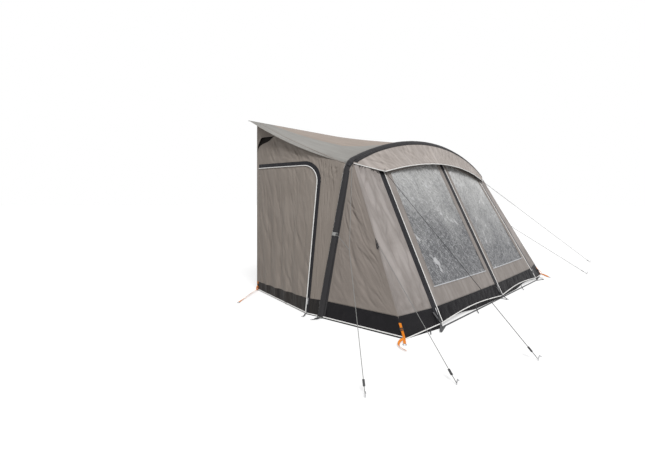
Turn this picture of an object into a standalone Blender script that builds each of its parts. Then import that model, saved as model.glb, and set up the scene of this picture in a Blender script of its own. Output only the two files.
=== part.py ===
"""Caravan awning held up by one inflatable arch.

The awning hangs from the caravan's awning rail at +Y and faces -Y. X runs along the caravan, Z is up,
and the origin is on the ground under the middle of the awning. All lengths are metres.

A tube of air stands behind the front wall. A saddle shaped roof runs back from it to the rail, a brow
hangs forward of it, and the walls are ruled between the ground plan and the arch.
"""

import math

import bmesh
import bpy
from mathutils import Matrix, Vector

# Overall plan, seen from above
rail_height = 2.40
rail_half_length = 2.20
wall_depth = 2.50
strap_reach = 0.185
rear_half_width = 2.05
corner_half_width = 2.10
strip_foot_half_width = 1.57
strip_foot_reach = 0.090
centre_foot_reach = 0.112
shoulder_tuck = 0.014

# Air beam
sleeve_radius = 0.050
sleeve_wall = 0.0025
bladder_wall = 0.0015
bladder_clearance = 0.0005
beam_foot_half_width = 2.21
beam_foot_setback = 0.985
beam_lean = math.radians(1.6)
leg_lean = math.radians(13.0)
crown_height = 2.152
crown_radius = 4.40
shoulder_radius = 0.16
strip_top_half_width = 1.41
tube_sides = 12
seam_angle = math.radians(30.0)
shoulder_seam_angle = math.radians(12.0)
beam_foot_thickness = 0.005
beam_foot_tongue_width = 0.040
beam_foot_tongue_reach = 0.095
beam_foot_eyelet_radius = 0.008
beam_foot_sides = 28
beam_foot_eyelet_sides = 14

# Cloth and seams
cloth = 0.003
seam_gap = 0.0003
crease_pull = 0.0012
skirt_height = 0.18
front_lift_at_strip = 0.035
front_lift_between = 0.070
floor_gap = 0.001
strip_lift = 0.0009

# Roof and brow
roof_edge_sag = 0.063
roof_middle_sag = 0.020
roof_wall_clearance = 0.0012
brow_tip_half_width = 1.42
brow_tip_setback = 0.722
brow_tip_height = 1.622
brow_middle_setback = 0.665
brow_middle_height = 1.800
brow_sag = 0.018

# Keder strip on the rail
keder_bead_radius = 0.0035
keder_tape = 0.016
keder_tape_thickness = 0.0016
keder_bead_steps = 10

# Side door
door_hinge_setback = 0.055
door_hinge_gap = 0.0025
door_foot_setback = 1.18
door_foot_half_width = 2.268
door_edge_margin = 0.004
door_lean = math.radians(5.47)
door_head_height = 1.735
door_head_fall = 0.020
door_corner_radius = 0.26
door_floor_gap = 0.020
door_fold_depth = 0.012
door_fold_count = 5
door_strip_width = 0.055
strip_cloth = 0.002
roof_slope_share = 1.5
roof_sag_power = 3

# Front windows
window_foot_height = 0.365
window_inner_margin = 0.135
window_outer_margin = 0.155
window_head_drop = 0.16
window_corner_radius = 0.06
film_thickness = 0.0015

# Front zip covers
zip_cover_width = 0.080
zip_cover_foot_height = 0.045
zip_cover_head_drop = 0.055

# Zip sliders
slider_length = 0.034
slider_width = 0.013
slider_height = 0.007
slider_tab_length = 0.045
slider_tab_width = 0.008
slider_tab_thickness = 0.0018
slider_start_height = 0.16
slider_clearance = 0.0007

# Rear pads and vents
pad_depth = 0.040
pad_width = 0.060
pad_foot_height = 0.030
pad_head_drop = 0.075
pad_bevel = 0.010
pad_clearance = 0.0010
pad_cuts = 7
vent_foot_drop = 0.45
vent_crown_drop = 0.234
vent_rear_setback = 0.115
vent_run = 0.26
vent_edge = 0.012
vent_lift = 0.022
vent_seat = 0.0039
vent_steps = 3
vent_rows = 2
leg_columns = 2
corner_columns = 4

# Valve at the foot of the left leg
valve_height = 0.36
valve_radius = 0.014
valve_flange_radius = 0.019
valve_flange_thickness = 0.004
valve_bore = 0.008
valve_depth = 0.010
valve_sides = 20
valve_bore_sides = 16
valve_hole_clearance = 0.0006
cap_thickness = 0.005

# Draught flap and ground webbing
flap_height = 0.125
flap_setback = 0.045
webbing_width = 0.022
webbing_thickness = 0.002
webbing_half_length = 1.50
tongue_width = 0.025
tongue_sewn_height = 0.095
tongue_fold = 0.004
outer_tongue_reach = 0.135
outer_tongue_half_width = 1.683
centre_tongue_reach = 0.161

# Corner straps
strap_width = 0.025
strap_cloth = 0.0025
strap_sewn_height = 0.130
strap_low_height = 0.022
ring_radius = 0.016
ring_wire = 0.003
ring_segments = 16
ring_sides = 6
buckle_width = 0.034
buckle_height = 0.024
buckle_thickness = 0.006
buckle_setting = 0.080
left_ring_half_width = 2.205
left_ring_reach = 0.068
right_ring_half_width = 1.940
rear_ring_half_width = 2.580
rear_ring_setback = 2.105

# Guy lines
guy_radius = 0.0018
runner_length = 0.045
runner_width = 0.016
runner_thickness = 0.008
runner_bore_clearance = 0.0005
runner_rest = 0.080
runner_bore_sides = 12
peg_height = 0.050
peg_radius = 0.0035
peg_lean = 0.010
peg_hook_reach = 0.016
guy_end_height = 0.010
guy_sewn_clearance = 0.0013

# Sampling of the cloth grids
leg_steps = 4
shoulder_steps = 4
crown_outer_steps = 3
crown_inner_steps = 6
roof_steps = 8
wall_steps = 9
door_columns = 18
door_rear_columns = 6
brow_steps = 3
cut_overrun = 0.05
outline_arc_steps = 6
search_tolerance_share = 1e-9
least_miter_share = 0.5

half_depth = (wall_depth + strap_reach) / 2
rear_y = half_depth
corner_y = rear_y - wall_depth
centreline_radius = crown_radius
crown_centre_z = crown_height - sleeve_radius - centreline_radius
beam_foot_y = corner_y + beam_foot_setback
leg_top_attach = seam_gap + cloth / 2
foot_plane = beam_foot_thickness + seam_gap + sleeve_wall * math.sin(leg_lean)
vent_foot_height = rail_height - vent_foot_drop
vent_crown_height = rail_height - vent_crown_drop


def clear_scene():
    """Remove every object that the open file holds."""
    for obj in list(bpy.data.objects):
        bpy.data.objects.remove(obj, do_unlink=True)


def collection(name):
    """Return a collection of this name that hangs under the scene."""
    made = bpy.data.collections.new(name)
    bpy.context.scene.collection.children.link(made)
    return made


def material(name, colour, roughness, metallic=0.0, alpha=1.0):
    """Return a Principled material of one colour."""
    made = bpy.data.materials.new(name)
    made.use_nodes = True
    shader = made.node_tree.nodes["Principled BSDF"]
    shader.inputs["Base Color"].default_value = (*colour, 1.0)
    shader.inputs["Roughness"].default_value = roughness
    shader.inputs["Metallic"].default_value = metallic
    shader.inputs["Alpha"].default_value = alpha
    return made


clear_scene()
parts = collection("caravan_awning")
cutters = collection("cutters")

wall_cloth = material("wall_cloth", (0.26, 0.23, 0.20), 0.85)
roof_cloth = material("roof_cloth", (0.34, 0.33, 0.31), 0.80)
brow_cloth = material("brow_cloth", (0.46, 0.40, 0.37), 0.80)
skirt_cloth = material("skirt_cloth", (0.030, 0.030, 0.036), 0.60)
sleeve_cloth = material("sleeve_cloth", (0.075, 0.073, 0.078), 0.75)
bladder_film = material("bladder_film", (0.75, 0.76, 0.74), 0.35)
window_film = material("window_film", (0.32, 0.34, 0.33), 0.15, alpha=0.6)
strip_tape = material("strip_tape", (0.028, 0.028, 0.034), 0.65)
webbing_grey = material("webbing_grey", (0.13, 0.13, 0.13), 0.80)
webbing_orange = material("webbing_orange", (0.85, 0.28, 0.03), 0.70)
pad_foam = material("pad_foam", (0.22, 0.20, 0.18), 0.90)
keder_vinyl = material("keder_vinyl", (0.75, 0.75, 0.73), 0.45)
black_plastic = material("black_plastic", (0.025, 0.025, 0.028), 0.45)
zinc_metal = material("zinc_metal", (0.55, 0.55, 0.56), 0.35, metallic=1.0)
guy_braid = material("guy_braid", (0.42, 0.42, 0.42), 0.70)


def add_object(name, mesh, finish, where=None):
    """Put a mesh into the scene as one named object."""
    obj = bpy.data.objects.new(name, mesh)
    (where or parts).objects.link(obj)
    if finish:
        mesh.materials.append(finish)
    return obj


def mesh_from_bmesh(name, bm):
    """Turn a bmesh into mesh data and free it."""
    mesh = bpy.data.meshes.new(name)
    bm.to_mesh(mesh)
    bm.free()
    return mesh


def solidify(obj, thickness, offset=0.0):
    """Give an open cloth surface its thickness."""
    made = obj.modifiers.new("thickness", "SOLIDIFY")
    made.thickness = thickness
    made.offset = offset
    made.use_even_offset = True
    made.use_rim = True
    return made


def boolean(obj, cutter, operation):
    """Cut, join or trim an object with a closed cutter."""
    made = obj.modifiers.new(operation.lower(), "BOOLEAN")
    made.operation = operation
    made.solver = "EXACT"
    made.object = cutter
    return made


def as_cutter(obj):
    """Keep a helper solid out of the model."""
    obj.hide_render = True
    obj.display_type = "WIRE"
    return obj


def pulled(rows, left=0.0, right=0.0, bottom=0.0, top=0.0):
    """Draw the rims of a grid of points inwards by the given lengths."""
    def step(a, b, length):
        return a + (b - a).normalized() * length if length else a

    for row in rows:
        row[0] = step(row[0], row[1], left)
        row[-1] = step(row[-1], row[-2], right)
    first = [step(a, b, bottom) for a, b in zip(rows[0], rows[1])]
    last = [step(a, b, top) for a, b in zip(rows[-1], rows[-2])]
    rows[0], rows[-1] = first, last
    return rows


def across_x(point):
    """Return a point's mirror image on the other side of the awning."""
    return Vector((-point.x, point.y, point.z))


def cloth_grid(name, rows, finish, thickness=cloth, offset=0.0, shift=0.0, mirror=False):
    """Make a cloth panel from rows of points that run from its foot to its head.

    The faces look outwards when the rows run from the viewer's left to right. shift moves the whole
    surface out along its own normals, for a piece that lies on top of another. mirror makes the same
    panel for the right side from the left side's rows.
    """
    bm = bmesh.new()
    columns = len(rows[0])
    bmesh.ops.create_grid(bm, x_segments=columns - 1, y_segments=len(rows) - 1, size=1.0)
    ordered = sorted(bm.verts, key=lambda v: (round(v.co.y, 4), round(v.co.x, 4)))
    for vert, point in zip(ordered, [p for row in rows for p in row]):
        vert.co = across_x(point) if mirror else point
    bmesh.ops.triangulate(bm, faces=bm.faces, quad_method="FIXED")
    if mirror:
        bmesh.ops.reverse_faces(bm, faces=bm.faces)
    bm.normal_update()
    if shift:
        lifted = [v.co + v.normal * shift for v in bm.verts]
        for vert, point in zip(bm.verts, lifted):
            vert.co = point
    obj = add_object(name, mesh_from_bmesh(name, bm), finish)
    solidify(obj, thickness, offset)
    return obj


def prism(name, outline, axis, low, high):
    """Extrude a closed outline along X or Y and keep it as a cutter.

    outline holds pairs: (y, z) for a prism along X, (x, z) for a prism along Y.
    """
    bm = bmesh.new()
    if axis == "X":
        base = [Vector((low, a, b)) for a, b in outline]
        reach = Vector((high - low, 0, 0))
    else:
        base = [Vector((a, low, b)) for a, b in outline]
        reach = Vector((0, high - low, 0))
    face = bm.faces.new([bm.verts.new(p) for p in base])
    grown = bmesh.ops.extrude_face_region(bm, geom=[face])["geom"]
    bmesh.ops.translate(bm, vec=reach, verts=[g for g in grown if isinstance(g, bmesh.types.BMVert)])
    bmesh.ops.recalc_face_normals(bm, faces=bm.faces)
    return as_cutter(add_object(name, mesh_from_bmesh(name, bm), None, cutters))


def rounded(points, radii, steps=outline_arc_steps):
    """Return an outline whose corners are rounded, one radius for each corner."""
    made = []
    count = len(points)
    for i, (corner, radius) in enumerate(zip(points, radii)):
        here = Vector(corner)
        if not radius:
            made.append(tuple(here))
            continue
        back = (Vector(points[i - 1]) - here).normalized()
        ahead = (Vector(points[(i + 1) % count]) - here).normalized()
        half = back.angle(ahead) / 2
        reach = radius / math.tan(half)
        centre = here + (back + ahead).normalized() * (radius / math.sin(half))
        start = here + back * reach - centre
        end = here + ahead * reach - centre
        for k in range(steps + 1):
            spoke = start.lerp(end, k / steps).normalized() * radius
            made.append(tuple(centre + spoke))
    return made


def offset_outline(outline, reach):
    """Grow a closed outline by reach, or shrink it where reach is negative."""
    made = []
    count = len(outline)
    area = sum(outline[i - 1][0] * outline[i][1] - outline[i][0] * outline[i - 1][1] for i in range(count))
    turn = 1.0 if area > 0 else -1.0
    for i in range(count):
        before, here, after = (Vector(outline[j % count]) for j in (i - 1, i, i + 1))
        first = (here - before).normalized()
        second = (after - here).normalized()
        normal_a = Vector((first.y, -first.x)) * turn
        normal_b = Vector((second.y, -second.x)) * turn
        mean = (normal_a + normal_b).normalized()
        made.append(tuple(here + mean * (reach / max(mean.dot(normal_a), least_miter_share))))
    return made


# The arch: a chain of sections, each with a centre, an outward normal and the front direction

front_axis = Vector((0, -math.cos(beam_lean), -math.sin(beam_lean)))


def arch_point(x, height):
    """Place a point of the arch's own plane in the awning."""
    return Vector((x, beam_foot_y - height * math.tan(beam_lean), height))


def arch_normal(angle, side):
    """Return the outward normal whose slope above the ground is angle, on side +1 or -1."""
    in_plane = math.sin(angle)
    return Vector((side * math.cos(angle), -in_plane * math.sin(beam_lean), in_plane * math.cos(beam_lean)))


def half_arch():
    """Return the sections from the right foot to the crown as (x, height, normal angle)."""
    across, along = (math.cos(leg_lean), math.sin(leg_lean)), (-math.sin(leg_lean), math.cos(leg_lean))
    line = beam_foot_half_width * across[0] - shoulder_radius
    to_base = Vector((across[0] * line, across[1] * line - crown_centre_z))
    climb = Vector(along)
    b = to_base.dot(climb)
    c = to_base.length_squared - (centreline_radius - shoulder_radius) ** 2
    rise = -b + math.sqrt(b * b - c)
    centre = Vector((across[0] * line, across[1] * line)) + climb * rise
    leg_end = centre + Vector(across) * shoulder_radius
    crown_angle = math.atan2(centre.y - crown_centre_z, centre.x)
    strip_angle = math.acos(strip_top_half_width / centreline_radius)
    made = [(beam_foot_half_width + (leg_end.x - beam_foot_half_width) * k / leg_steps,
             leg_end.y * k / leg_steps, leg_lean) for k in range(leg_steps)]
    for k in range(shoulder_steps + 1):
        angle = leg_lean + (crown_angle - leg_lean) * k / shoulder_steps
        made.append((centre.x + shoulder_radius * math.cos(angle),
                     centre.y + shoulder_radius * math.sin(angle), angle))
    spans = ((crown_angle, strip_angle, crown_outer_steps), (strip_angle, math.pi / 2, crown_inner_steps))
    for start, end, steps in spans:
        for k in range(1, steps + 1):
            angle = start + (end - start) * k / steps
            made.append((centreline_radius * math.cos(angle),
                         crown_centre_z + centreline_radius * math.sin(angle), angle))
    return made


class Section:
    """One cross-section of the air beam."""

    def __init__(self, x, height, angle, side):
        self.centre = arch_point(side * x, height)
        self.normal = arch_normal(angle, side)
        self.along = self.normal.cross(front_axis).normalized()

    def rim(self, angle, radius):
        """Return the point at this angle from the front, turned outwards, at this radius."""
        return self.centre + (front_axis * math.cos(angle) + self.normal * math.sin(angle)) * radius


half = half_arch()
right_half = [Section(x, z, a, 1) for x, z, a in half]
left_half = [Section(x, z, a, -1) for x, z, a in half]
arch = left_half + right_half[-2::-1]
crown_index = len(half) - 1
shoulder_index = leg_steps + shoulder_steps // 2
strip_index = leg_steps + shoulder_steps + crown_outer_steps
crown_sections = arch[shoulder_index:len(arch) - shoulder_index]


def to_floor(section, point, floor=0.0):
    """Slide a foot's rim point along the leg until it stands at this height."""
    return point + section.along * ((floor - point.z) / section.along.z)


def tube_rows(radius):
    """Return the rim points of every section at this radius, with both feet flat on the ground."""
    rows = []
    for section in arch:
        row = [section.rim(seam_angle + 2 * math.pi * k / tube_sides, radius) for k in range(tube_sides)]
        if section in (arch[0], arch[-1]):
            row = [to_floor(section, p, foot_plane) for p in row]
        rows.append(row)
    return rows


def tube_mesh(name, rows, capped):
    """Skin a tube through rows of rim points."""
    bm = bmesh.new()
    rings = [[bm.verts.new(p) for p in row] for row in rows]
    for lower, upper in zip(rings, rings[1:]):
        for k in range(tube_sides):
            j = (k + 1) % tube_sides
            bm.faces.new((lower[j], lower[k], upper[k], upper[j]))
    if capped:
        bm.faces.new(rings[0])
        bm.faces.new(rings[-1])
        bmesh.ops.recalc_face_normals(bm, faces=bm.faces)
    return mesh_from_bmesh(name, bm)


def cylinder(name, radius, depth, segments, where=parts, finish=None):
    """Return an upright cylinder that stands on the origin."""
    bm = bmesh.new()
    bmesh.ops.create_cone(bm, cap_ends=True, segments=segments, radius1=radius, radius2=radius, depth=depth)
    bmesh.ops.translate(bm, vec=(0, 0, depth / 2), verts=bm.verts)
    return add_object(name, mesh_from_bmesh(name, bm), finish, where)


def aim(obj, origin, direction):
    """Stand an object's Z axis along a direction, from a point."""
    obj.location = origin
    obj.rotation_mode = "QUATERNION"
    obj.rotation_quaternion = direction.to_track_quat("Z", "Y")
    return obj


def leg_line(side, angle, radius, end_angle=None):
    """Return the points along one leg, foot to shoulder, at this place on its rim."""
    sections = (right_half if side > 0 else left_half)[:shoulder_index + 1]
    turn = (angle if end_angle is None else end_angle) - angle
    turned = shoulder_index - leg_steps
    points = [s.rim(angle + turn * max(0, k - leg_steps) / turned, radius) for k, s in enumerate(sections)]
    points[0] = to_floor(sections[0], points[0])
    return points


def heights_share(points):
    """Return each point's height as a share of the last one's."""
    return [p.z / points[-1].z for p in points]


# The beam and what is in it

def make_beam():
    """Make the sleeve, the bladder inside it and the valve with its cap."""
    sleeve = add_object("beam_sleeve", tube_mesh("beam_sleeve", tube_rows(sleeve_radius), False), sleeve_cloth)
    solidify(sleeve, sleeve_wall, -1.0)

    bladder_radius = sleeve_radius - sleeve_wall - bladder_clearance
    rows = tube_rows(bladder_radius)
    for k, row in ((0, rows[0]), (-1, rows[-1])):
        rows[k] = [p + Vector((0, 0, bladder_wall)) for p in row]
    bladder = add_object("beam_bladder", tube_mesh("beam_bladder", rows, True), bladder_film)
    solidify(bladder, bladder_wall, -1.0)

    leg = left_half[0]
    inward = -leg.normal
    rise = (left_half[1].centre - leg.centre).normalized()
    seat = leg.centre + rise * (valve_height / rise.z)
    hole = cylinder("valve_hole_cutter", valve_radius + valve_hole_clearance, sleeve_radius * 2, valve_sides,
                    cutters)
    as_cutter(aim(hole, seat + inward * valve_depth, inward))
    boolean(sleeve, hole, "DIFFERENCE")
    boolean(bladder, hole, "DIFFERENCE")

    stem_base = seat + inward * (bladder_radius - bladder_wall - valve_depth)
    stem_length = (seat + inward * sleeve_radius - stem_base).length + seam_gap
    body = cylinder("valve_body", valve_radius, stem_length + valve_flange_thickness, valve_sides, parts,
                    black_plastic)
    aim(body, stem_base, inward)
    flange = cylinder("valve_flange_cutter", valve_flange_radius, valve_flange_thickness, valve_sides, cutters)
    as_cutter(aim(flange, stem_base + inward * stem_length, inward))
    bore = cylinder("valve_bore_cutter", valve_bore, stem_length + valve_flange_thickness + cut_overrun,
                    valve_bore_sides, cutters)
    as_cutter(aim(bore, stem_base - inward * cut_overrun / 2, inward))
    boolean(body, flange, "UNION")
    boolean(body, bore, "DIFFERENCE")

    face = stem_base + inward * (stem_length + valve_flange_thickness + seam_gap)
    cap = cylinder("valve_cap", valve_flange_radius, cap_thickness, valve_sides, parts, black_plastic)
    aim(cap, face, inward)
    bevel = cap.modifiers.new("edge", "BEVEL")
    bevel.width = cap_thickness / 4
    bevel.segments = 2
    return sleeve


# Roof, brow and rail

def share_across(section):
    """Return where a section stands between the two shoulders, from -1 to 1."""
    return section.centre.x / crown_sections[-1].centre.x


strip_share = abs(share_across(arch[strip_index]))


def roof_point(section_share, depth_share):
    """Return a point of the roof: section_share runs from -1 to 1, depth_share from rail to arch."""
    shares = [share_across(s) for s in crown_sections]
    k = max(i for i, s in enumerate(shares[:-1]) if s <= max(section_share, shares[0]) + search_tolerance_share)
    local = (section_share - shares[k]) / (shares[k + 1] - shares[k])
    ends = [s.rim(math.pi - seam_angle, sleeve_radius + seam_gap) for s in crown_sections[k:k + 2]]
    head = ends[0].lerp(ends[1], local)
    rail_y = rear_y - keder_bead_radius * 2 - keder_tape - seam_gap - cloth / 4
    rail = Vector((section_share * rail_half_length, rail_y, rail_height))
    sag = roof_middle_sag + (roof_edge_sag - roof_middle_sag) * section_share ** 4
    return rail.lerp(head, depth_share) - Vector((0, 0, sag * 4 * depth_share * (1 - depth_share)))


def make_roof():
    """Make the roof panel between the rail and the arch."""
    shares = [share_across(s) for s in crown_sections]
    rows = [[roof_point(s, 1 - k / roof_steps) for s in shares] for k in range(roof_steps + 1)]
    return cloth_grid("roof_panel", rows, roof_cloth)


def make_keder():
    """Make the beaded strip that slides into the rail."""
    bead_y = rear_y - keder_bead_radius
    half_tape = keder_tape_thickness / 2
    opening = math.asin(half_tape / keder_bead_radius)
    outline = []
    for k in range(keder_bead_steps + 1):
        angle = math.pi + opening + (2 * math.pi - 2 * opening) * k / keder_bead_steps
        outline.append((bead_y + keder_bead_radius * math.cos(angle),
                        rail_height + keder_bead_radius * math.sin(angle)))
    front = rear_y - keder_bead_radius * 2 - keder_tape
    outline += [(front, rail_height + half_tape), (front, rail_height - half_tape)]
    bm = bmesh.new()
    face = bm.faces.new([bm.verts.new((-rail_half_length, y, z)) for y, z in outline])
    grown = bmesh.ops.extrude_face_region(bm, geom=[face])["geom"]
    ends = [g for g in grown if isinstance(g, bmesh.types.BMVert)]
    bmesh.ops.translate(bm, vec=(2 * rail_half_length, 0, 0), verts=ends)
    bmesh.ops.recalc_face_normals(bm, faces=bm.faces)
    return add_object("keder_strip", mesh_from_bmesh("keder_strip", bm), keder_vinyl)


def brow_edge(share):
    """Return a point of the brow's front edge, share from -1 at the left tip to 1."""
    drop = share * share
    return Vector((share * brow_tip_half_width,
                   corner_y + brow_middle_setback + (brow_tip_setback - brow_middle_setback) * drop,
                   brow_middle_height + (brow_tip_height - brow_middle_height) * drop))


def seam_angle_at(section):
    """Return the seam's angle on the beam, which closes up towards the shoulders."""
    fade = (1 - abs(share_across(section))) / (1 - strip_share)
    return shoulder_seam_angle + (seam_angle - shoulder_seam_angle) * min(1.0, fade)


def brow_point(section, share_down):
    """Return a point of the brow below one section of the arch."""
    share = share_across(section)
    head = section.rim(seam_angle_at(section), sleeve_radius + leg_top_attach)
    hang = math.sin(math.pi * share_down) * brow_sag * (1 - share * share)
    return head.lerp(brow_edge(share), share_down) + Vector((0, hang, -hang / 2))


def make_brow():
    """Make the brow panel that shades the front windows."""
    rows = [[brow_point(s, 1 - k / brow_steps) for s in crown_sections] for k in range(brow_steps + 1)]
    return cloth_grid("brow_panel", rows, brow_cloth)


# Front wall

def front_foot(share):
    """Return a point of the front's ground line, share from -1 at the left corner to 1."""
    spread = abs(share)
    side = 1 if share >= 0 else -1
    stations = [(0.0, 0.0, centre_foot_reach), (strip_share, strip_foot_half_width, strip_foot_reach),
                (1.0, corner_half_width, 0.0)]
    for (s0, x0, r0), (s1, x1, r1) in zip(stations, stations[1:]):
        if spread <= s1 + search_tolerance_share:
            t = (spread - s0) / (s1 - s0)
            return Vector((side * (x0 + (x1 - x0) * t), corner_y - (r0 + (r1 - r0) * t), 0))
    raise ValueError("share lies outside the front")


def front_head(section):
    """Return where the front wall meets the arch at one section."""
    return section.rim(-seam_angle_at(section), sleeve_radius + leg_top_attach)


def front_rows(sections, low, high, steps):
    """Return rows of the front wall between two heights, each a number or a rule of the share."""
    rows = []
    for k in range(steps + 1):
        row = []
        for section in sections:
            share = share_across(section)
            foot, head = front_foot(share), front_head(section)
            start = low(share) if callable(low) else low
            end = head.z if high is None else high
            row.append(foot.lerp(head, (start + (end - start) * k / steps) / head.z))
        rows.append(row)
    return rows


def front_line(share, height):
    """Return a point of the front wall's line at share -1, 0 or 1 times the strips' share."""
    index = crown_index if not share else (strip_index if share < 0 else len(arch) - 1 - strip_index)
    foot, head = front_foot(share_across(arch[index])), front_head(arch[index])
    return foot.lerp(head, height / head.z)


def front_outline(side):
    """Return a window's outline in X and Z, for side -1 or 1."""
    sill = window_foot_height
    head_inner = front_line(0, brow_middle_height)
    outer_foot = front_line(side, sill)
    outer_head = front_line(side, brow_tip_height + window_head_drop / 2)
    inner_foot = side * window_inner_margin
    low_out = outer_foot.x - side * window_outer_margin
    top_out = outer_head.x - side * window_outer_margin
    points = [(inner_foot, sill), (low_out, sill), (top_out, outer_head.z - window_head_drop / 2),
              (inner_foot, head_inner.z + window_head_drop / 4)]
    return rounded(points, [window_corner_radius] * 4)


def make_front():
    """Make the corner panels, the window panels with their films, and the zip covers."""
    low = skirt_height + seam_gap
    corner = pulled(front_rows(arch[shoulder_index:strip_index + 1], low, None, wall_steps),
                    left=crease_pull, right=seam_gap)
    window = pulled(front_rows(arch[strip_index:crown_index + 1], low, None, wall_steps),
                    left=seam_gap, right=seam_gap)
    for side, word in ((-1, "left"), (1, "right")):
        mirror = side > 0
        cloth_grid("corner_panel_" + word, corner, wall_cloth, mirror=mirror)
        panel = cloth_grid("window_panel_" + word, window, wall_cloth, mirror=mirror)
        outline = front_outline(side)
        hole = prism("window_hole_" + word, outline, "Y", -half_depth, beam_foot_y)
        boolean(panel, hole, "DIFFERENCE")
        film = cloth_grid("window_film_" + word, window, window_film, film_thickness, mirror=mirror)
        inner = prism("window_pane_" + word, offset_outline(outline, -seam_gap), "Y", -half_depth, beam_foot_y)
        boolean(film, inner, "INTERSECT")

    for place, word in ((-1, "left"), (0, "centre"), (1, "right")):
        make_zip_cover(place, word)


def strip_frame(place):
    """Return the foot, direction and outward normal of a front seam, place -1, 0 or 1."""
    foot = front_line(place, 0)
    index = crown_index if not place else (strip_index if place < 0 else len(arch) - 1 - strip_index)
    head = front_head(arch[index])
    rise = (head - foot).normalized()
    normal = Vector((1, 0, 0)).cross(rise).normalized()
    return foot, rise, normal


def make_zip_cover(place, word):
    """Make the dark flap that covers one front zip, and the zip's slider."""
    index = crown_index if not place else (strip_index if place < 0 else len(arch) - 1 - strip_index)
    sections = arch[index - 1:index + 2]
    top = front_head(arch[index]).z - zip_cover_head_drop
    columns = []
    half_width = zip_cover_width / 2
    for k in range(wall_steps + 1):
        height = zip_cover_foot_height + (top - zip_cover_foot_height) * k / wall_steps
        middle = front_line(place, height)
        row = []
        for section, sign in zip(sections, (-1, 0, 1)):
            foot, head = front_foot(share_across(section)), front_head(section)
            beside = foot.lerp(head, height / head.z)
            row.append(middle + (beside - middle).normalized() * half_width if sign else middle)
        columns.append(row)
    cloth_grid("zip_cover_" + word, columns, strip_tape, strip_cloth, 1.0, cloth / 2 + strip_lift)

    foot, rise, normal = strip_frame(place)
    stand = cloth / 2 + strip_lift + strip_cloth + slider_clearance
    seat = front_line(place, slider_start_height) + normal * stand
    make_slider("front_zip_slider_" + word, seat, rise, normal)


def make_slider(name, seat, rise, normal):
    """Make a zip slider with its pull tab hanging below, seated on a tape at a point."""
    across = rise.cross(normal).normalized()

    def block(length, width, height, low, lift):
        bm = bmesh.new()
        bmesh.ops.create_cube(bm, size=1.0)
        for v in bm.verts:
            x, y, z = v.co.x * width, v.co.y * length + low, (v.co.z + 0.5) * height + lift
            v.co = seat + across * x + rise * y + normal * z
        bmesh.ops.recalc_face_normals(bm, faces=bm.faces)
        return bm

    body_mesh = mesh_from_bmesh(name, block(slider_length, slider_width, slider_height, 0, 0))
    body = add_object(name, body_mesh, zinc_metal)
    edge = body.modifiers.new("edge", "BEVEL")
    edge.width = slider_height / 4
    edge.segments = 1
    low = -(slider_length + slider_tab_length) / 2 + slider_tab_width
    tab_mesh = mesh_from_bmesh(name + "_tab", block(slider_tab_length, slider_tab_width, slider_tab_thickness, low,
                                                    slider_height / 3))
    tab = as_cutter(add_object(name + "_tab_join", tab_mesh, None, cutters))
    boolean(body, tab, "UNION")
    return body


# Side walls

class SideWall:
    """The left rear side wall: ruled from the caravan to the door's front edge, and from there to the leg."""

    def __init__(self):
        self.leg = leg_line(-1, math.pi - seam_angle, sleeve_radius + leg_top_attach)
        self.leg[-1] += (self.leg[-2] - self.leg[-1]).normalized() * shoulder_tuck
        self.shares = heights_share(self.leg)
        self.rear_edge_y = rear_y - seam_gap - cloth / 4
        self.rear_top = self.top_at(self.rear_edge_y)
        self.door_foot = Vector((-door_foot_half_width, corner_y + door_foot_setback, 0))
        high = self.top_at(self.door_foot.y + rail_height * math.tan(door_lean))
        self.door_top = self.top_at(self.door_foot.y + high.z * math.tan(door_lean))

    def top_at(self, y):
        """Return where the wall meets the roof at this y."""
        tip = self.leg[-1]
        along = (self.rear_edge_y - y) / (self.rear_edge_y - tip.y)
        x = -rear_half_width + (tip.x + rear_half_width) * along
        height = under_roof(-x, y)
        return Vector((x, y, min(height, tip.z) if along > 1 - seam_gap else height))

    def front(self, share):
        """Return a point of the edge that is sewn to the beam."""
        k = max(i for i, s in enumerate(self.shares[:-1]) if s <= share + search_tolerance_share)
        local = (share - self.shares[k]) / (self.shares[k + 1] - self.shares[k])
        return self.leg[k].lerp(self.leg[k + 1], local)

    def door_edge(self, share):
        """Return a point of the straight line that the door's front edge follows."""
        return self.door_foot.lerp(self.door_top, share)

    def point(self, along, share):
        """Return a point: along is 0 at the caravan, 1 at the door's front edge and 2 at the beam."""
        rear = Vector((-rear_half_width, self.rear_edge_y, self.rear_top.z * share))
        middle = self.door_edge(share)
        here = rear.lerp(middle, along) if along <= 1 else middle.lerp(self.front(share), along - 1)
        ends = (self.rear_top, self.door_top) if along <= 1 else (self.door_top, self.leg[-1])
        straight = ends[0].lerp(ends[1], along if along <= 1 else along - 1)
        drop = straight.z - self.top_at(straight.y).z if 0 < along < 2 and along != 1 else 0
        return here - Vector((0, 0, drop * share ** roof_sag_power))

    def at(self, y, height):
        """Return the point of the wall at this y and height, for places behind the door's front edge."""
        along, share = 0.0, height / self.rear_top.z
        for _ in range(wall_steps):
            found = self.point(along, share)
            along += (found.y - y) / (self.rear_edge_y - self.door_edge(share).y)
            share += (height - found.z) / self.rear_top.z
        return found

    def rows(self, columns, fold=0.0):
        """Return the wall's rows from the foot up, each running from the caravan to the beam."""
        beside_pad = pad_depth / (self.rear_edge_y - self.door_foot.y)
        stations = [0, beside_pad] + [k / columns for k in range(1, columns + 1)]
        stations += [1 + k / leg_columns for k in range(1, leg_columns + 1)]
        made = []
        for share in shares_up(self.shares):
            lift = floor_gap * (1 - share)
            made.append([self.point(a, share) + Vector((-fold_depth(a, share, fold), 0, lift)) for a in stations])
        return made


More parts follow.
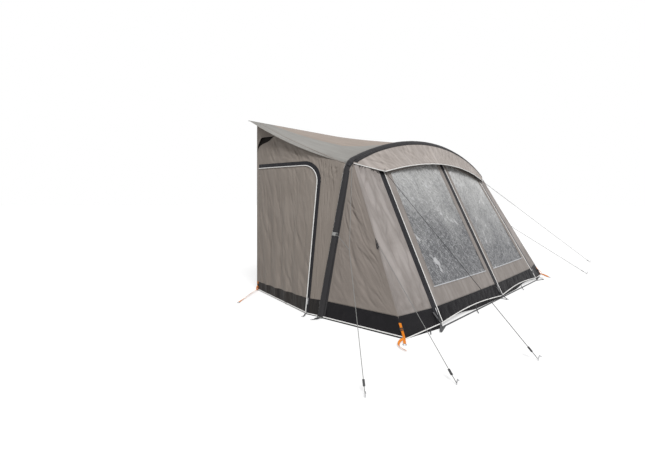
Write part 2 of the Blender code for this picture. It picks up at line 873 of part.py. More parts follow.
def under_roof(x, y):
    """Return the height just under the roof cloth at this place, seen from above."""
    share, depth = min(x / rail_half_length, 1.0), 0.0
    for _ in range(outline_arc_steps):
        rail, head = roof_point(share, 0), roof_point(share, 1)
        depth = max(0.0, min(1.0, (rail.y - y) / (rail.y - head.y)))
        share = min(x / roof_point(1.0, depth).x, 1.0)
    return roof_point(share, depth).z - cloth * roof_slope_share - roof_wall_clearance


def shares_up(shares):
    """Return the leg's own heights with a few more between them."""
    made = []
    for a, b in zip(shares, shares[1:]):
        made += [a, (a + b) / 2] if b - a > 1 / wall_steps else [a]
    return made + [shares[-1]]


def fold_depth(along, share, depth):
    """Return how far the door's hanging folds stand out, fading to nothing at the door's edges."""
    hinge_share = (door_hinge_setback + door_hinge_gap) / (wall_depth - door_foot_setback)
    past_hinge = (along - hinge_share) / (1 - hinge_share)
    if not 0 < past_hinge < 1:
        return 0.0
    head = min(share * rail_height / door_head_height, 1.0)
    fade = math.sin(math.pi * past_hinge) * math.sqrt(1 - head * head)
    return depth * fade * math.sin(2 * math.pi * (door_fold_count * along + share))


def door_outline():
    """Return the door's outline in Y and Z, from the foot of its hinge round to its front foot."""
    hinge = rear_y - door_hinge_setback
    foot_y = corner_y + door_foot_setback + door_edge_margin
    slope = math.tan(door_lean)
    head_front = door_head_height - door_head_fall
    points = [(hinge, -cut_overrun), (hinge, door_head_height), (foot_y + slope * head_front, head_front),
              (foot_y - slope * cut_overrun, -cut_overrun)]
    return rounded(points, [0, 0, door_corner_radius, 0], outline_arc_steps + 2)


def footed(outline, low):
    """Return an outline with its first and last points moved along their edges to this height."""
    ends = []
    for tip, beside in ((outline[0], outline[1]), (outline[-1], outline[-2])):
        share = (low - beside[1]) / (tip[1] - beside[1])
        ends.append((beside[0] + (tip[0] - beside[0]) * share, low))
    return [ends[0]] + outline[1:-1] + [ends[1]]


def make_sides():
    """Make the side walls, the doors with their zip covers, the skirts, pads and vent hoods."""
    outline = door_outline()
    hinge = rear_y - door_hinge_setback
    shape = SideWall()
    plain, folded = shape.rows(door_rear_columns), shape.rows(door_columns, door_fold_depth)
    inner = [(min(y, hinge - door_hinge_gap), z)
             for y, z in footed(offset_outline(outline, -seam_gap), door_floor_gap)]
    band = [footed(offset_outline(outline, grow), floor_gap * 2)[1:] for grow in (door_strip_width, seam_gap * 2)]
    path = [(min(y, hinge), z) for y, z in band[0] + band[1][::-1]]
    for side, word in ((-1, "left"), (1, "right")):
        mirror = side > 0
        reach = sorted((side * rear_half_width / 2, side * (corner_half_width + rear_half_width / 2)))
        wall = cloth_grid("side_wall_rear_" + word, plain, wall_cloth, mirror=mirror)
        boolean(wall, prism("door_hole_" + word, outline, "X", *reach), "DIFFERENCE")
        leaf = cloth_grid("side_door_" + word, folded, wall_cloth, mirror=mirror)
        boolean(leaf, prism("door_leaf_" + word, inner, "X", *reach), "INTERSECT")
        strip = cloth_grid("door_zip_cover_" + word, plain, strip_tape, strip_cloth, 1.0, cloth / 2 + seam_gap,
                           mirror)
        boolean(strip, prism("door_strip_outline_" + word, path, "X", *reach), "INTERSECT")
        make_door_slider(shape, word, mirror)
        make_side_front(word, mirror)
        make_pad(shape, word, mirror)
        make_vent(shape, word, mirror)


def make_door_slider(shape, word, mirror):
    """Make the slider of the door's zip, near the foot of the door's front edge."""
    rise = (shape.door_top - shape.door_foot).normalized()
    share = slider_start_height / shape.door_top.z
    ahead = (shape.front(share) - shape.door_edge(share)).normalized()
    normal = ahead.cross(rise).normalized()
    normal = normal if normal.x < 0 else -normal
    seat = shape.door_edge(share) + ahead * slider_width + normal * (cloth / 2 + strip_cloth + strip_lift)
    places = [across_x(v) if mirror else v for v in (seat, rise, normal)]
    make_slider("door_zip_slider_" + word, *places)


def make_side_front(word, mirror):
    """Make the front side wall between the leg and the corner crease, and its skirt."""
    leg = leg_line(-1, seam_angle, sleeve_radius + leg_top_attach + seam_gap * 2, shoulder_seam_angle / 2)
    shares = heights_share(leg)
    foot = Vector((-corner_half_width, corner_y, 0))
    head = front_head(left_half[shoulder_index])

    def row_at(height):
        share = height / leg[-1].z
        k = max(i for i, s in enumerate(shares[:-1]) if s <= share + search_tolerance_share)
        near = leg[k].lerp(leg[k + 1], (share - shares[k]) / (shares[k + 1] - shares[k]))
        return [near.lerp(foot.lerp(head, share), c / corner_columns) for c in range(corner_columns + 1)]

    low = skirt_height + seam_gap
    heights = [low] + [s * leg[-1].z for s in shares_up(shares) if s * leg[-1].z > low]
    rows = pulled([row_at(h) for h in heights], right=crease_pull)
    cloth_grid("side_wall_front_" + word, rows, wall_cloth, mirror=mirror)
    rows = pulled([row_at(h) for h in (floor_gap, skirt_height)], right=crease_pull)
    cloth_grid("side_skirt_" + word, rows, skirt_cloth, mirror=mirror)


def make_pad(shape, word, mirror):
    """Make the padded strip that presses the wall's rear edge against the caravan."""
    bm = bmesh.new()
    bmesh.ops.create_cube(bm, size=1.0)
    upright = [e for e in bm.edges if e.verts[0].co.z * e.verts[1].co.z < 0]
    bmesh.ops.subdivide_edges(bm, edges=upright, cuts=pad_cuts, use_grid_fill=True)
    top = shape.rear_top.z - pad_head_drop
    for v in bm.verts:
        height = pad_foot_height + (top - pad_foot_height) * (v.co.z + 0.5)
        wall = shape.at(shape.rear_edge_y if v.co.y > 0 else rear_y - pad_depth, height)
        inset = cloth / 2 + pad_clearance + (pad_width if v.co.x > 0 else 0)
        place = Vector((wall.x + inset, rear_y if v.co.y > 0 else rear_y - pad_depth, height))
        v.co = across_x(place) if mirror else place
    bm.normal_update()
    bmesh.ops.recalc_face_normals(bm, faces=bm.faces)
    obj = add_object("rear_pad_" + word, mesh_from_bmesh("rear_pad_" + word, bm), pad_foam)
    bevel = obj.modifiers.new("soft_edges", "BEVEL")
    bevel.width = pad_bevel
    bevel.segments = 2
    return obj


def make_vent(shape, word, mirror):
    """Make the hood over the vent: a patch of the top rear corner whose curved lip stands off the wall."""
    rear = shape.rear_edge_y - vent_edge
    left = rear - vent_rear_setback
    lip, seat = [], []
    for k in range(vent_steps + 1):
        angle = math.pi / 2 * k / vent_steps
        lip.append((left + vent_rear_setback * math.cos(angle) ** 2,
                    vent_foot_height + (vent_crown_height - vent_foot_height) * math.sin(angle)))
        top = shape.top_at(rear).z - vent_edge
        seat.append((rear, vent_foot_height + vent_edge + (top - vent_foot_height) * math.sin(angle)))
    for k in range(1, vent_steps + 1):
        y = left - vent_run * k / vent_steps
        lip.append((y, vent_crown_height))
        top = shape.top_at(rear + (y - rear) * k / vent_steps)
        seat.append((top.y, max(top.z - vent_edge, vent_crown_height + vent_edge)))

    rows = []
    for t in range(vent_rows + 1):
        share = t / vent_rows
        row = []
        for k, (low, high) in enumerate(zip(lip, seat)):
            place = shape.at(low[0] + (high[0] - low[0]) * share, low[1] + (high[1] - low[1]) * share)
            stand = vent_lift * (1 - share) ** 2 * math.sin(math.pi * k / (len(lip) - 1))
            place.x -= vent_seat + stand
            row.append(place)
        rows.append(row[::-1])
    return cloth_grid("vent_hood_" + word, rows, wall_cloth, mirror=mirror)


# Skirt, flap and webbing at the front

def front_lift(share):
    """Return how high the front skirt's lower edge stands."""
    spread = abs(share)
    if spread >= strip_share:
        t = (spread - strip_share) / (1 - strip_share)
        return front_lift_at_strip + (floor_gap - front_lift_at_strip) * t
    t = spread / strip_share
    return front_lift_at_strip + (front_lift_between - front_lift_at_strip) * math.sin(math.pi * t)


def make_front_foot():
    """Make the front skirt, the draught flap behind it and the ground webbing with its tongues."""
    rows = pulled(front_rows(crown_sections, front_lift, skirt_height, 2), left=crease_pull, right=crease_pull)
    cloth_grid("front_skirt", rows, skirt_cloth)

    rows = []
    for height in (floor_gap, flap_height):
        row = []
        for k in range(crown_inner_steps + 1):
            share = strip_share * (2 * k / crown_inner_steps - 1)
            foot, head = front_foot(share), front_head(crown_sections[0])
            lean = (corner_y + brow_middle_setback - foot.y) / brow_middle_height
            row.append(Vector((foot.x, foot.y + flap_setback + lean * height, height)))
        rows.append(row)
    cloth_grid("draught_flap", rows, skirt_cloth)

    y = corner_y - centre_foot_reach + flap_setback - (cloth + webbing_width) / 2
    line = box("ground_webbing", Vector((0, y, webbing_thickness / 2)),
               (webbing_half_length * 2, webbing_width, webbing_thickness), webbing_grey)
    places = ((-1, -outer_tongue_half_width, outer_tongue_reach), (0, 0, centre_tongue_reach),
              (1, outer_tongue_half_width, outer_tongue_reach))
    for place, x, reach in places:
        start = Vector((front_line(place, 0).x * webbing_half_length / strip_foot_half_width, y, 0))
        pull = Vector((x, corner_y - reach, 0))
        out = (pull - start).normalized()
        foot, rise, normal = strip_frame(place)
        off = normal * (cloth / 2 + strip_lift * 2 + strip_cloth + webbing_thickness / 2)
        sewn, low = (foot + rise * (h / rise.z) + off for h in (tongue_sewn_height, zip_cover_foot_height))
        flat = Vector((0, 0, webbing_thickness / 2))
        fold = Vector((0, 0, tongue_fold))
        path = [start + flat, pull + flat, pull + out * tongue_fold + fold, pull + fold * 2, low, sewn]
        ground_across, sewn_across = Vector((0, 0, 1)).cross(out), rise.cross(normal)
        if ground_across.dot(sewn_across) < 0:
            sewn_across = -sewn_across
        tongue = ribbon("tongue_cutter_%d" % (place + 1), path, [ground_across] * 4 + [sewn_across] * 2,
                        tongue_width, webbing_thickness, None, cutters)
        boolean(line, as_cutter(tongue), "UNION")


def box(name, centre, size, finish, where=None):
    """Make a plain box."""
    bm = bmesh.new()
    bmesh.ops.create_cube(bm, size=1.0)
    for v in bm.verts:
        v.co = Vector(c * s for c, s in zip(v.co, size))
    obj = add_object(name, mesh_from_bmesh(name, bm), finish, where)
    obj.location = centre
    return obj


# Corner straps

def ribbon(name, path, across, width, thickness, finish, where=None):
    """Make a flat strap along a path, with one direction of its width for each point."""
    bm = bmesh.new()
    rings = [[bm.verts.new(p + a * width * s / 2) for s in (-1, 1)] for p, a in zip(path, across)]
    for lower, upper in zip(rings, rings[1:]):
        bm.faces.new((lower[0], lower[1], upper[1], upper[0]))
    obj = add_object(name, mesh_from_bmesh(name, bm), finish, where)
    made = solidify(obj, thickness, 0.0)
    made.use_even_offset = False
    return obj


def make_corner_strap(name, foot, rise, normal, ring, seat=cloth / 2 + seam_gap * 2):
    """Make one corner strap: webbing sewn on a face of the awning, a buckle and a ring on the ground."""
    up = Vector((0, 0, 1))
    out = Vector((ring.x - foot.x, ring.y - foot.y, 0)).normalized()
    clear = normal * (seat + strap_cloth / 2)
    sewn = foot + rise * (strap_sewn_height / rise.z) + clear
    low = foot + rise * (strap_low_height / rise.z) + clear
    centre = Vector((ring.x, ring.y, ring_wire))
    path = [sewn, low, low + normal * strap_cloth * 2 - up * strap_low_height / 4, centre - out * ring_radius]
    flat = up.cross(normal).normalized()
    strap = ribbon(name, path, [flat, flat, flat, up.cross(out)], strap_width, strap_cloth, webbing_orange)

    bm = bmesh.new()
    rings = []
    for k in range(ring_segments):
        turn = 2 * math.pi * k / ring_segments
        spoke = Vector((math.cos(turn), math.sin(turn), 0))
        rings.append([bm.verts.new(centre + spoke * (ring_radius + ring_wire * math.cos(a))
                                   + Vector((0, 0, ring_wire * math.sin(a))))
                      for a in (2 * math.pi * j / ring_sides + math.pi / 2 for j in range(ring_sides))])
    for k in range(ring_segments):
        here, ahead = rings[k], rings[(k + 1) % ring_segments]
        for j in range(ring_sides):
            i = (j + 1) % ring_sides
            bm.faces.new((here[j], here[i], ahead[i], ahead[j]))
    bmesh.ops.recalc_face_normals(bm, faces=bm.faces)
    hoop = as_cutter(add_object(name + "_ring_join", mesh_from_bmesh(name + "_ring_join", bm), None, cutters))
    boolean(strap, hoop, "UNION")

    place = foot + rise * (buckle_setting / rise.z) + clear + normal * (buckle_thickness - strap_cloth) / 2
    buckle = box(name + "_buckle_join", place, (buckle_width, buckle_thickness, buckle_height), None, cutters)
    buckle.rotation_mode = "QUATERNION"
    buckle.rotation_quaternion = Matrix((flat, rise.cross(flat), rise)).transposed().to_quaternion()
    boolean(strap, as_cutter(buckle), "UNION")
    return strap


def make_straps():
    """Make the four corner straps."""
    wall = SideWall()
    corner = Vector((-corner_half_width, corner_y, 0))
    rise = (front_head(arch[shoulder_index]) - corner).normalized()
    ring = Vector((-left_ring_half_width, corner_y - left_ring_reach, 0))
    level = (ring - corner).normalized()
    normal = (level - rise * level.dot(rise)).normalized()
    make_corner_strap("corner_strap_front_left", corner, rise, normal, ring, cloth + seam_gap)

    foot = front_foot(1 - strap_width / corner_half_width)
    rise = (front_head(arch[-1 - shoulder_index]) - foot).normalized()
    beside = front_foot(1 - 2 * strap_width / corner_half_width) - foot
    ring_y = corner_y - strap_reach + ring_radius + ring_wire * math.cos(math.pi / ring_sides)
    make_corner_strap("corner_strap_front_right", foot, rise, beside.cross(rise).normalized() * -1,
                      Vector((right_ring_half_width, ring_y, 0)))
    for side, word in ((-1, "left"), (1, "right")):
        places = (wall.at(rear_y - strap_width * 3 / 2, 0), wall.at(rear_y - strap_width * 3 / 2, strap_sewn_height),
                  wall.at(rear_y - strap_width / 2, 0))
        low, high, beside = (across_x(p) if side > 0 else p for p in places)
        rise = (high - low).normalized()
        normal = rise.cross(beside - low).normalized()
        make_corner_strap("corner_strap_rear_" + word, low, rise, normal if normal.x * side > 0 else -normal,
                          Vector((side * rear_ring_half_width, corner_y + rear_ring_setback, 0)))


# Guy lines

def rod(name, points, radius, finish, where=None, resolution=2):
    """Make a round rod or cord through a chain of points."""
    curve = bpy.data.curves.new(name, "CURVE")
    curve.dimensions = "3D"
    curve.bevel_depth = radius
    curve.bevel_resolution = resolution
    curve.use_fill_caps = True
    spline = curve.splines.new("POLY")
    spline.points.add(len(points) - 1)
    for target, point in zip(spline.points, points):
        target.co = (*point, 1.0)
    obj = bpy.data.objects.new(name, curve)
    (where or parts).objects.link(obj)
    if finish:
        curve.materials.append(finish)
    return obj


def make_guy(name, route):
    """Make one guy line with the runner that tightens it and the peg that holds it."""
    up = Vector((0, 0, 1))
    points = [Vector(p) + Vector((0, corner_y, 0)) for p in route]
    stake = points[-1]
    away = (stake - points[-2]).to_2d().normalized().to_3d()
    loop = stake + away * (peg_lean * guy_end_height / peg_height) + up * guy_end_height
    direction = (loop - points[-2]).normalized()
    clear = (peg_radius - seam_gap + guy_radius * abs(direction.z)) / direction.to_2d().length
    points[-1] = loop - direction * clear
    points[0] += (points[1] - points[0]).normalized() * guy_sewn_clearance
    rod("guy_line_" + name, points, guy_radius, guy_braid)

    peg_path = [stake + up * (peg_radius * peg_lean / peg_height + seam_gap),
                stake + away * peg_lean / 2 + up * peg_height / 2,
                stake + away * peg_lean + up * (peg_height - peg_radius * 2),
                stake + away * (peg_lean + peg_hook_reach) + up * (peg_height - peg_radius * 3)]
    rod("guy_peg_" + name, peg_path, peg_radius, zinc_metal)

    rest = points[-1] - direction * runner_rest
    runner = box("guy_runner_" + name, rest, (runner_width, runner_thickness, runner_length), black_plastic)
    runner.rotation_mode = "QUATERNION"
    runner.rotation_quaternion = direction.to_track_quat("Z", "Y")
    bore_start = rest - direction * (runner_length + cut_overrun) / 2
    bore = cylinder("runner_bore_" + name, guy_radius + runner_bore_clearance, runner_length + cut_overrun,
                    runner_bore_sides, cutters)
    boolean(runner, as_cutter(aim(bore, bore_start, direction)), "DIFFERENCE")


shoulder_line_start = (-1.847, 0.868, 1.665)
shoulder_line_fork = (-2.400, 0.410, 0.808)
shoulder_line_end = (-3.109, -0.364, 0.0)
leg_band_start = (-2.034, 0.917, 0.890)
guy_routes = {
    "shoulder": [shoulder_line_start, shoulder_line_fork, shoulder_line_end],
    "left_crease": [(-1.9416, 0.4226, 0.8179), (-2.529, -0.697, 0.0)],
    "left_brow": [(-1.420, 0.722, 1.622), (-1.702, -0.972, 0.0)],
    "right_brow": [(1.420, 0.722, 1.622), (4.211, -0.342, 0.0)],
    "right_crease": [(1.9416, 0.4226, 0.8179), (2.710, -0.542, 0.0)],
}


def make_guys():
    """Make the five guy lines and the short branch that ties the shoulder line to the leg."""
    for name, route in guy_routes.items():
        make_guy(name, route)
    fork = Vector(shoulder_line_fork)
    start = Vector(leg_band_start)
    near = fork + (start - fork).normalized() * (guy_radius * 2 + seam_gap * 2)
    rod("guy_branch", [p + Vector((0, corner_y, 0)) for p in (start, near)], guy_radius, guy_braid)


def make_beam_feet():
    """Make the discs under the beam's feet, each with a tongue and an eyelet for a peg."""
    for side, word in ((-1, "left"), (1, "right")):
        leg = (right_half if side > 0 else left_half)[0]
        centre = Vector((leg.centre.x, leg.centre.y, 0))
        name = "beam_foot_" + word
        disc = cylinder(name, sleeve_radius, beam_foot_thickness, beam_foot_sides, parts, skirt_cloth)
        disc.location = centre
        tongue = box(name + "_tongue_join",
                     centre + Vector((side * beam_foot_tongue_reach / 2, 0, beam_foot_thickness / 2)),
                     (beam_foot_tongue_reach, beam_foot_tongue_width, beam_foot_thickness), None, cutters)
        boolean(disc, as_cutter(tongue), "UNION")
        eyelet = cylinder(name + "_eyelet_cutter", beam_foot_eyelet_radius, beam_foot_thickness + cut_overrun,
                          beam_foot_eyelet_sides, cutters)
        reach = beam_foot_tongue_reach - beam_foot_tongue_width / 2
        eyelet.location = centre + Vector((side * reach, 0, -cut_overrun / 2))
        boolean(disc, as_cutter(eyelet), "DIFFERENCE")


make_beam()
make_beam_feet()
make_roof()
make_keder()
make_brow()
make_front()
make_sides()
make_front_foot()
make_straps()
make_guys()
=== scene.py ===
"""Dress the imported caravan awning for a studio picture.

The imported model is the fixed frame. Every cloth panel, strap, cord and pad is made again here as fine
geometry on the same lines, with its folds, piping and stitching, and each finish is a node material.
"""

import logging
import math
from collections.abc import Callable, Sequence
from dataclasses import dataclass, field
from enum import Enum

import bmesh
import bpy
import numpy as np
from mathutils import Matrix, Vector, kdtree, noise
from mathutils.geometry import delaunay_2d_cdt, interpolate_bezier


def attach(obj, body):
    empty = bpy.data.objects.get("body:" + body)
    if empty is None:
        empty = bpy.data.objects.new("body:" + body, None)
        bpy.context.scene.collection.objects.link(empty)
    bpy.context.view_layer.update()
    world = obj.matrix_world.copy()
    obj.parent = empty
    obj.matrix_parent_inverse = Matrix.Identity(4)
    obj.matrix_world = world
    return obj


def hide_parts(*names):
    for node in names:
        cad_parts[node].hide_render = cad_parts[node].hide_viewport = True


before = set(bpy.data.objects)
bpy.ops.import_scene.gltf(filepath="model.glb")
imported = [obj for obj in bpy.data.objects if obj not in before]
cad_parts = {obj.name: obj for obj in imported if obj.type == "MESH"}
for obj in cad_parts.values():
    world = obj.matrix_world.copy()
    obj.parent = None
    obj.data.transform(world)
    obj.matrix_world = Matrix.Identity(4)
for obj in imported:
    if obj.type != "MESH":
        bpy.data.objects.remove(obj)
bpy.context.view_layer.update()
LOG = logging.getLogger("awning")
UP = Vector((0, 0, 1))

# Sizes that many pieces share: the radius of white piping and of a fine seam, how high a row of stitches and
# a hem lie over the cloth, the cloth of strips and flanges, the gap under what hangs over the ground, and the
# radius that a tube with a rule for its radius takes its coordinates from
PIPING = 0.0056
FINE_SEAM = 0.0016
STITCH_LIFT = 0.0016
HEM_LIFT = 0.003
STRIP_CLOTH = 0.0016
CLEAR = 0.001
TUBE_RADIUS = 0.05

Pair = tuple[float, float]
Place = tuple[float, float, float]
Surface = Callable[[float, float], Vector]
Relief = Callable[[Vector, float, float], float]
Colour = tuple[float, float, float]


def linear(red: int, green: int, blue: int) -> Colour:
    """Turn a colour as a screen shows it, 0 to 255, into scene values.

    Args:
        red: 0 to 255.
        green: 0 to 255.
        blue: 0 to 255.

    Returns:
        The scene's values of the three channels.
    """
    def one(value: int) -> float:
        """Turn one channel."""
        share = value / 255
        return share / 12.92 if share <= 0.04045 else ((share + 0.055) / 1.055) ** 2.4

    return one(red), one(green), one(blue)


def smooth(low: float, high: float, value: float) -> float:
    """Return 0 below low, 1 above high and an easy step between them."""
    share = min(max((value - low) / (high - low), 0.0), 1.0)
    return share * share * (3 - 2 * share)


def ripple(x: float, y: float, z: float = 0.0) -> float:
    """Return smooth noise from about -1 to 1 at a place."""
    return noise.noise(Vector((x, y, z)))


def even(start: float, end: float, count: int) -> list[float]:
    """Return even steps from start to end, with both of them."""
    return [start + (end - start) * k / count for k in range(count + 1)]


# Shader graphs


class Wire:
    """A shader socket that takes part in arithmetic."""

    def __init__(self, graph: "Graph", socket: bpy.types.NodeSocket) -> None:
        """Keep the graph and the socket."""
        self.graph = graph
        self.socket = socket

    def _math(self, operation: str, first: "Wire | float", second: "Wire | float") -> "Wire":
        """Return the result of a Math node on two values."""
        return self.graph.add("ShaderNodeMath", {"operation": operation}, {0: first, 1: second})

    def __add__(self, other: "Wire | float") -> "Wire":
        """Add."""
        return self._math("ADD", self, other)

    __radd__ = __add__

    def __sub__(self, other: "Wire | float") -> "Wire":
        """Subtract."""
        return self._math("SUBTRACT", self, other)

    def __rsub__(self, other: float) -> "Wire":
        """Subtract from a number."""
        return self._math("SUBTRACT", other, self)

    def __mul__(self, other: "Wire | float") -> "Wire":
        """Multiply."""
        return self._math("MULTIPLY", self, other)

    __rmul__ = __mul__

    def __truediv__(self, other: "Wire | float") -> "Wire":
        """Divide."""
        return self._math("DIVIDE", self, other)

    def __abs__(self) -> "Wire":
        """Drop the sign."""
        return self._math("ABSOLUTE", self, 0.0)

    def positive(self) -> "Wire":
        """Return this value, or 0 where it is less."""
        return self._math("MAXIMUM", self, 0.0)

    def above(self, other: "Wire | float", width: float) -> "Wire":
        """Return 1 where this lies above another value, 0 below, with a soft step of this width."""
        step = (self - other) / width + 0.5
        return self.graph.add("ShaderNodeClamp", {}, {0: step})

    def wave(self, turns: float) -> "Wire":
        """Return a sine of this value, from 0 to 1, with so many turns to a unit."""
        return self._math("SINE", self * (turns * 2 * math.pi), 0.0) * 0.5 + 0.5


class Graph:
    """The node tree of one material, filled from expressions."""

    def __init__(self, name: str) -> None:
        """Start a material with a Principled shader."""
        self.material = bpy.data.materials.new(name)
        self.material.use_nodes = True
        self.tree = self.material.node_tree
        self.shader = self.tree.nodes["Principled BSDF"]

    def add(self, kind: str, settings: dict | None = None, inputs: dict | None = None,
            out: int | str = 0) -> Wire:
        """Add a node.

        Args:
            kind: the node's type.
            settings: its properties, which are set first.
            inputs: values or wires by socket name or index.
            out: the output that is returned.

        Returns:
            The wire of that output.
        """
        node = self.tree.nodes.new(kind)
        for name, value in (settings or {}).items():
            setattr(node, name, value)
        for name, value in (inputs or {}).items():
            self.feed(node.inputs[name], value)
        return Wire(self, node.outputs[out])

    def feed(self, socket: bpy.types.NodeSocket, value: object) -> None:
        """Link a wire to a socket, or set the socket's own value.

        Args:
            socket: an input of a node.
            value: a wire, a colour or a number.
        """
        if isinstance(value, Wire):
            self.tree.links.new(value.socket, socket)
        elif isinstance(value, tuple) and socket.type == "RGBA":
            socket.default_value = (*value, 1.0)
        else:
            socket.default_value = value

    def set(self, **values: object) -> None:
        """Feed sockets of the shader, by their names with _ for a space."""
        for name, value in values.items():
            self.feed(self.shader.inputs[name.replace("_", " ")], value)

    def place(self) -> Wire:
        """Return the place on the object."""
        return self.add("ShaderNodeTexCoord", out="Object")

    def parts(self, vector: Wire) -> tuple[Wire, Wire, Wire]:
        """Split a vector into X, Y and Z."""
        first = self.add("ShaderNodeSeparateXYZ", {}, {0: vector})
        node = first.socket.node
        return tuple(Wire(self, node.outputs[k]) for k in range(3))

    def uv(self) -> Wire:
        """Return the piece's own coordinates in metres."""
        return self.add("ShaderNodeUVMap")

    def turned(self, degrees: float) -> Wire:
        """Return the piece's own coordinates, turned."""
        turn = (0, 0, math.radians(degrees))
        return self.add("ShaderNodeMapping", {}, {"Vector": self.uv(), "Rotation": turn})

    def noise(self, vector: Wire, scale: float, detail: float = 3.0, stretch: tuple = (1, 1, 1)) -> Wire:
        """Return noise from 0 to 1 on a stretched vector."""
        moved = self.add("ShaderNodeMapping", {}, {"Vector": vector, "Scale": stretch})
        return self.add("ShaderNodeTexNoise", {}, {"Vector": moved, "Scale": scale, "Detail": detail})

    def mix(self, factor: "Wire | float", low: "Wire | Colour", high: "Wire | Colour") -> Wire:
        """Mix two colours."""
        return self.add("ShaderNodeMix", {"data_type": "RGBA"}, {0: factor, 6: low, 7: high}, out=2)

    def bump(self, height: Wire, distance: float, strength: float = 1.0, normal: Wire | None = None) -> Wire:
        """Return a normal bent by a height.

        Args:
            height: what stands out.
            distance: how far, in metres.
            strength: how much of it shows.
            normal: a normal that is bent already.

        Returns:
            The bent normal.
        """
        inputs = {"Height": height, "Distance": distance, "Strength": strength}
        if normal:
            inputs["Normal"] = normal
        return self.add("ShaderNodeBump", {}, inputs)


@dataclass(frozen=True)
class Weave:
    """A woven, coated cloth."""

    name: str
    colour: Colour
    shade: Colour
    roughness: float = 0.72
    thread: float = 0.0012
    sheen: float = 0.04
    gloss: float = 0.28
    crinkle: float = 0.007
    lean: float = 0.0
    # How much painted shade darkens the cloth along its creases.
    mark: float = 0.18
    # How much darker the cloth gets towards the ground: soil, and where the amount is high, painted shade.
    dust: float = 0.16
    band: Colour | None = None
    band_rear: float = 0.125
    band_front: float = 0.180
    band_start: float = 1.34
    band_run: float = 1.51
    wing: Colour | None = None
    wing_half: float = 1.444
    wing_flare: float = 0.28
    wing_curve: float = 4.1
    wing_bend: float = 0.2
    soil: Colour = (0.10, 0.085, 0.07)
    gap: Colour = (0.02, 0.018, 0.016)

    def make(self) -> bpy.types.Material:
        """Build the material."""
        graph = Graph(self.name)
        place = graph.place()
        across, along, _ = graph.parts(graph.uv())
        x, y, height = graph.parts(place)
        broad = graph.noise(place, 1.3, 3.0)
        fine = graph.noise(place, 14.0, 4.0)
        weft = across.wave(1 / self.thread)
        warp = along.wave(1 / self.thread)
        colour = graph.mix(broad.above(0.5, 0.5), self.colour, self.shade)
        # On the roof, the grey base colour outside the middle is a painted sky reflection.
        if self.wing:
            colour = graph.mix(self.wing_mask(x, y), colour, self.wing)
        # Darker towards the ground: soil, and where the amount is high, as on the corner panels, a painted
        # shade at the foot.
        grime_and_shade = (0.35 - height).above(0.0, 0.5) * fine * self.dust
        colour = graph.mix(grime_and_shade, colour, self.soil)
        if self.band:
            rise = (self.band_front - self.band_rear) / self.band_run
            top = self.band_rear + rise * (self.band_start - y)
            colour = graph.mix(top.above(height, 0.004), colour, self.band)
        colour = graph.mix(weft * warp * 0.10, colour, self.gap)
        turned = graph.turned(self.lean)
        long = graph.noise(turned, 9.0, 4.0, (1.0, 0.16, 1.0))
        short = graph.noise(turned, 24.0, 3.0, (1.0, 0.30, 1.0))
        creases = long + short * 0.35
        # Painted shade: the colour darkens along lines of the same noise that bumps the creases.
        colour = graph.mix(self.ridge(long) * self.mark, colour, self.shade_line())
        normal = graph.bump(creases, self.crinkle, 0.9)
        normal = graph.bump(weft + warp, self.thread * 0.25, 0.4, normal)
        graph.set(Base_Color=colour, Roughness=fine * 0.12 + (self.roughness - 0.06), Normal=normal,
                  Sheen_Weight=self.sheen, Sheen_Roughness=0.6, Specular_IOR_Level=self.gloss)
        return graph.material

    def ridge(self, height: Wire) -> Wire:
        """Return 1 along the middle of the creases in a noise, 0 away from them."""
        return (0.07 - abs(height - 0.5)).above(0.0, 0.14)

    def shade_line(self) -> Colour:
        """Return the painted shade colour for the bottom of a crease."""
        red, green, blue = self.shade
        return red * 0.45, green * 0.43, blue * 0.41

    def wing_mask(self, x: Wire, y: Wire) -> Wire:
        """Return 1 on the middle of the roof, which keeps the cloth's own taupe; outside it the roof's grey
        is a painted sky reflection.
        """
        bend = (self.wing_bend - y).positive()
        half = y * self.wing_flare + self.wing_half - bend * bend * self.wing_curve
        return (half - abs(x)).above(0.0, 0.006)


@dataclass(frozen=True)
class Film:
    """A clear flexible window film with soft folds in it, whose colour has a painted sky reflection, painted
    highlights and painted shade.
    """

    name: str
    tint: Colour
    # The colour of the painted sky reflection.
    haze: Colour
    shadow: Colour
    glint: Colour
    roughness: float = 0.20
    opacity: float = 0.90
    lean: float = -28.0

    def make(self) -> bpy.types.Material:
        """Build the material."""
        graph = Graph(self.name)
        place = graph.place()
        beside, _, height = graph.parts(place)
        turned = graph.turned(self.lean)
        cloud = graph.noise(place, 2.6, 4.0)
        streak = graph.noise(turned, 13.0, 7.0, (1.0, 0.32, 1.0))
        crackle = graph.noise(turned, 38.0, 6.0, (1.0, 0.40, 1.0))
        # Painted highlights and shade: the crackle's thin lines and the sparks take the glint colour, the
        # streaks and the crackle the shadow colour.
        line = (0.018 - abs(crackle - 0.5)).above(0.0, 0.03)
        # Painted sky reflection: the film turns brighter, and a little more opaque, towards its top and
        # towards +X.
        haze = (height * 1.05 + cloud * 1.1 + beside * 0.10).above(1.78, 1.15)
        spark = (streak * cloud).above(0.350, 0.07) * crackle.above(0.50, 0.12)
        colour = graph.mix(haze, self.tint, self.haze)
        colour = graph.mix(streak.above(0.46, 0.4) * 0.30, colour, self.shadow)
        colour = graph.mix(crackle.above(0.54, 0.16) * 0.28, colour, self.shadow)
        colour = graph.mix(line * 0.40 + spark * 0.60, colour, self.glint)
        normal = graph.bump(streak + cloud * 0.8 + crackle * 0.45, 0.03, 0.9)
        graph.set(Base_Color=colour, Roughness=streak * 0.30 + self.roughness, Normal=normal,
                  Alpha=haze * 0.06 + self.opacity, IOR=1.45, Specular_IOR_Level=0.6)
        return graph.material


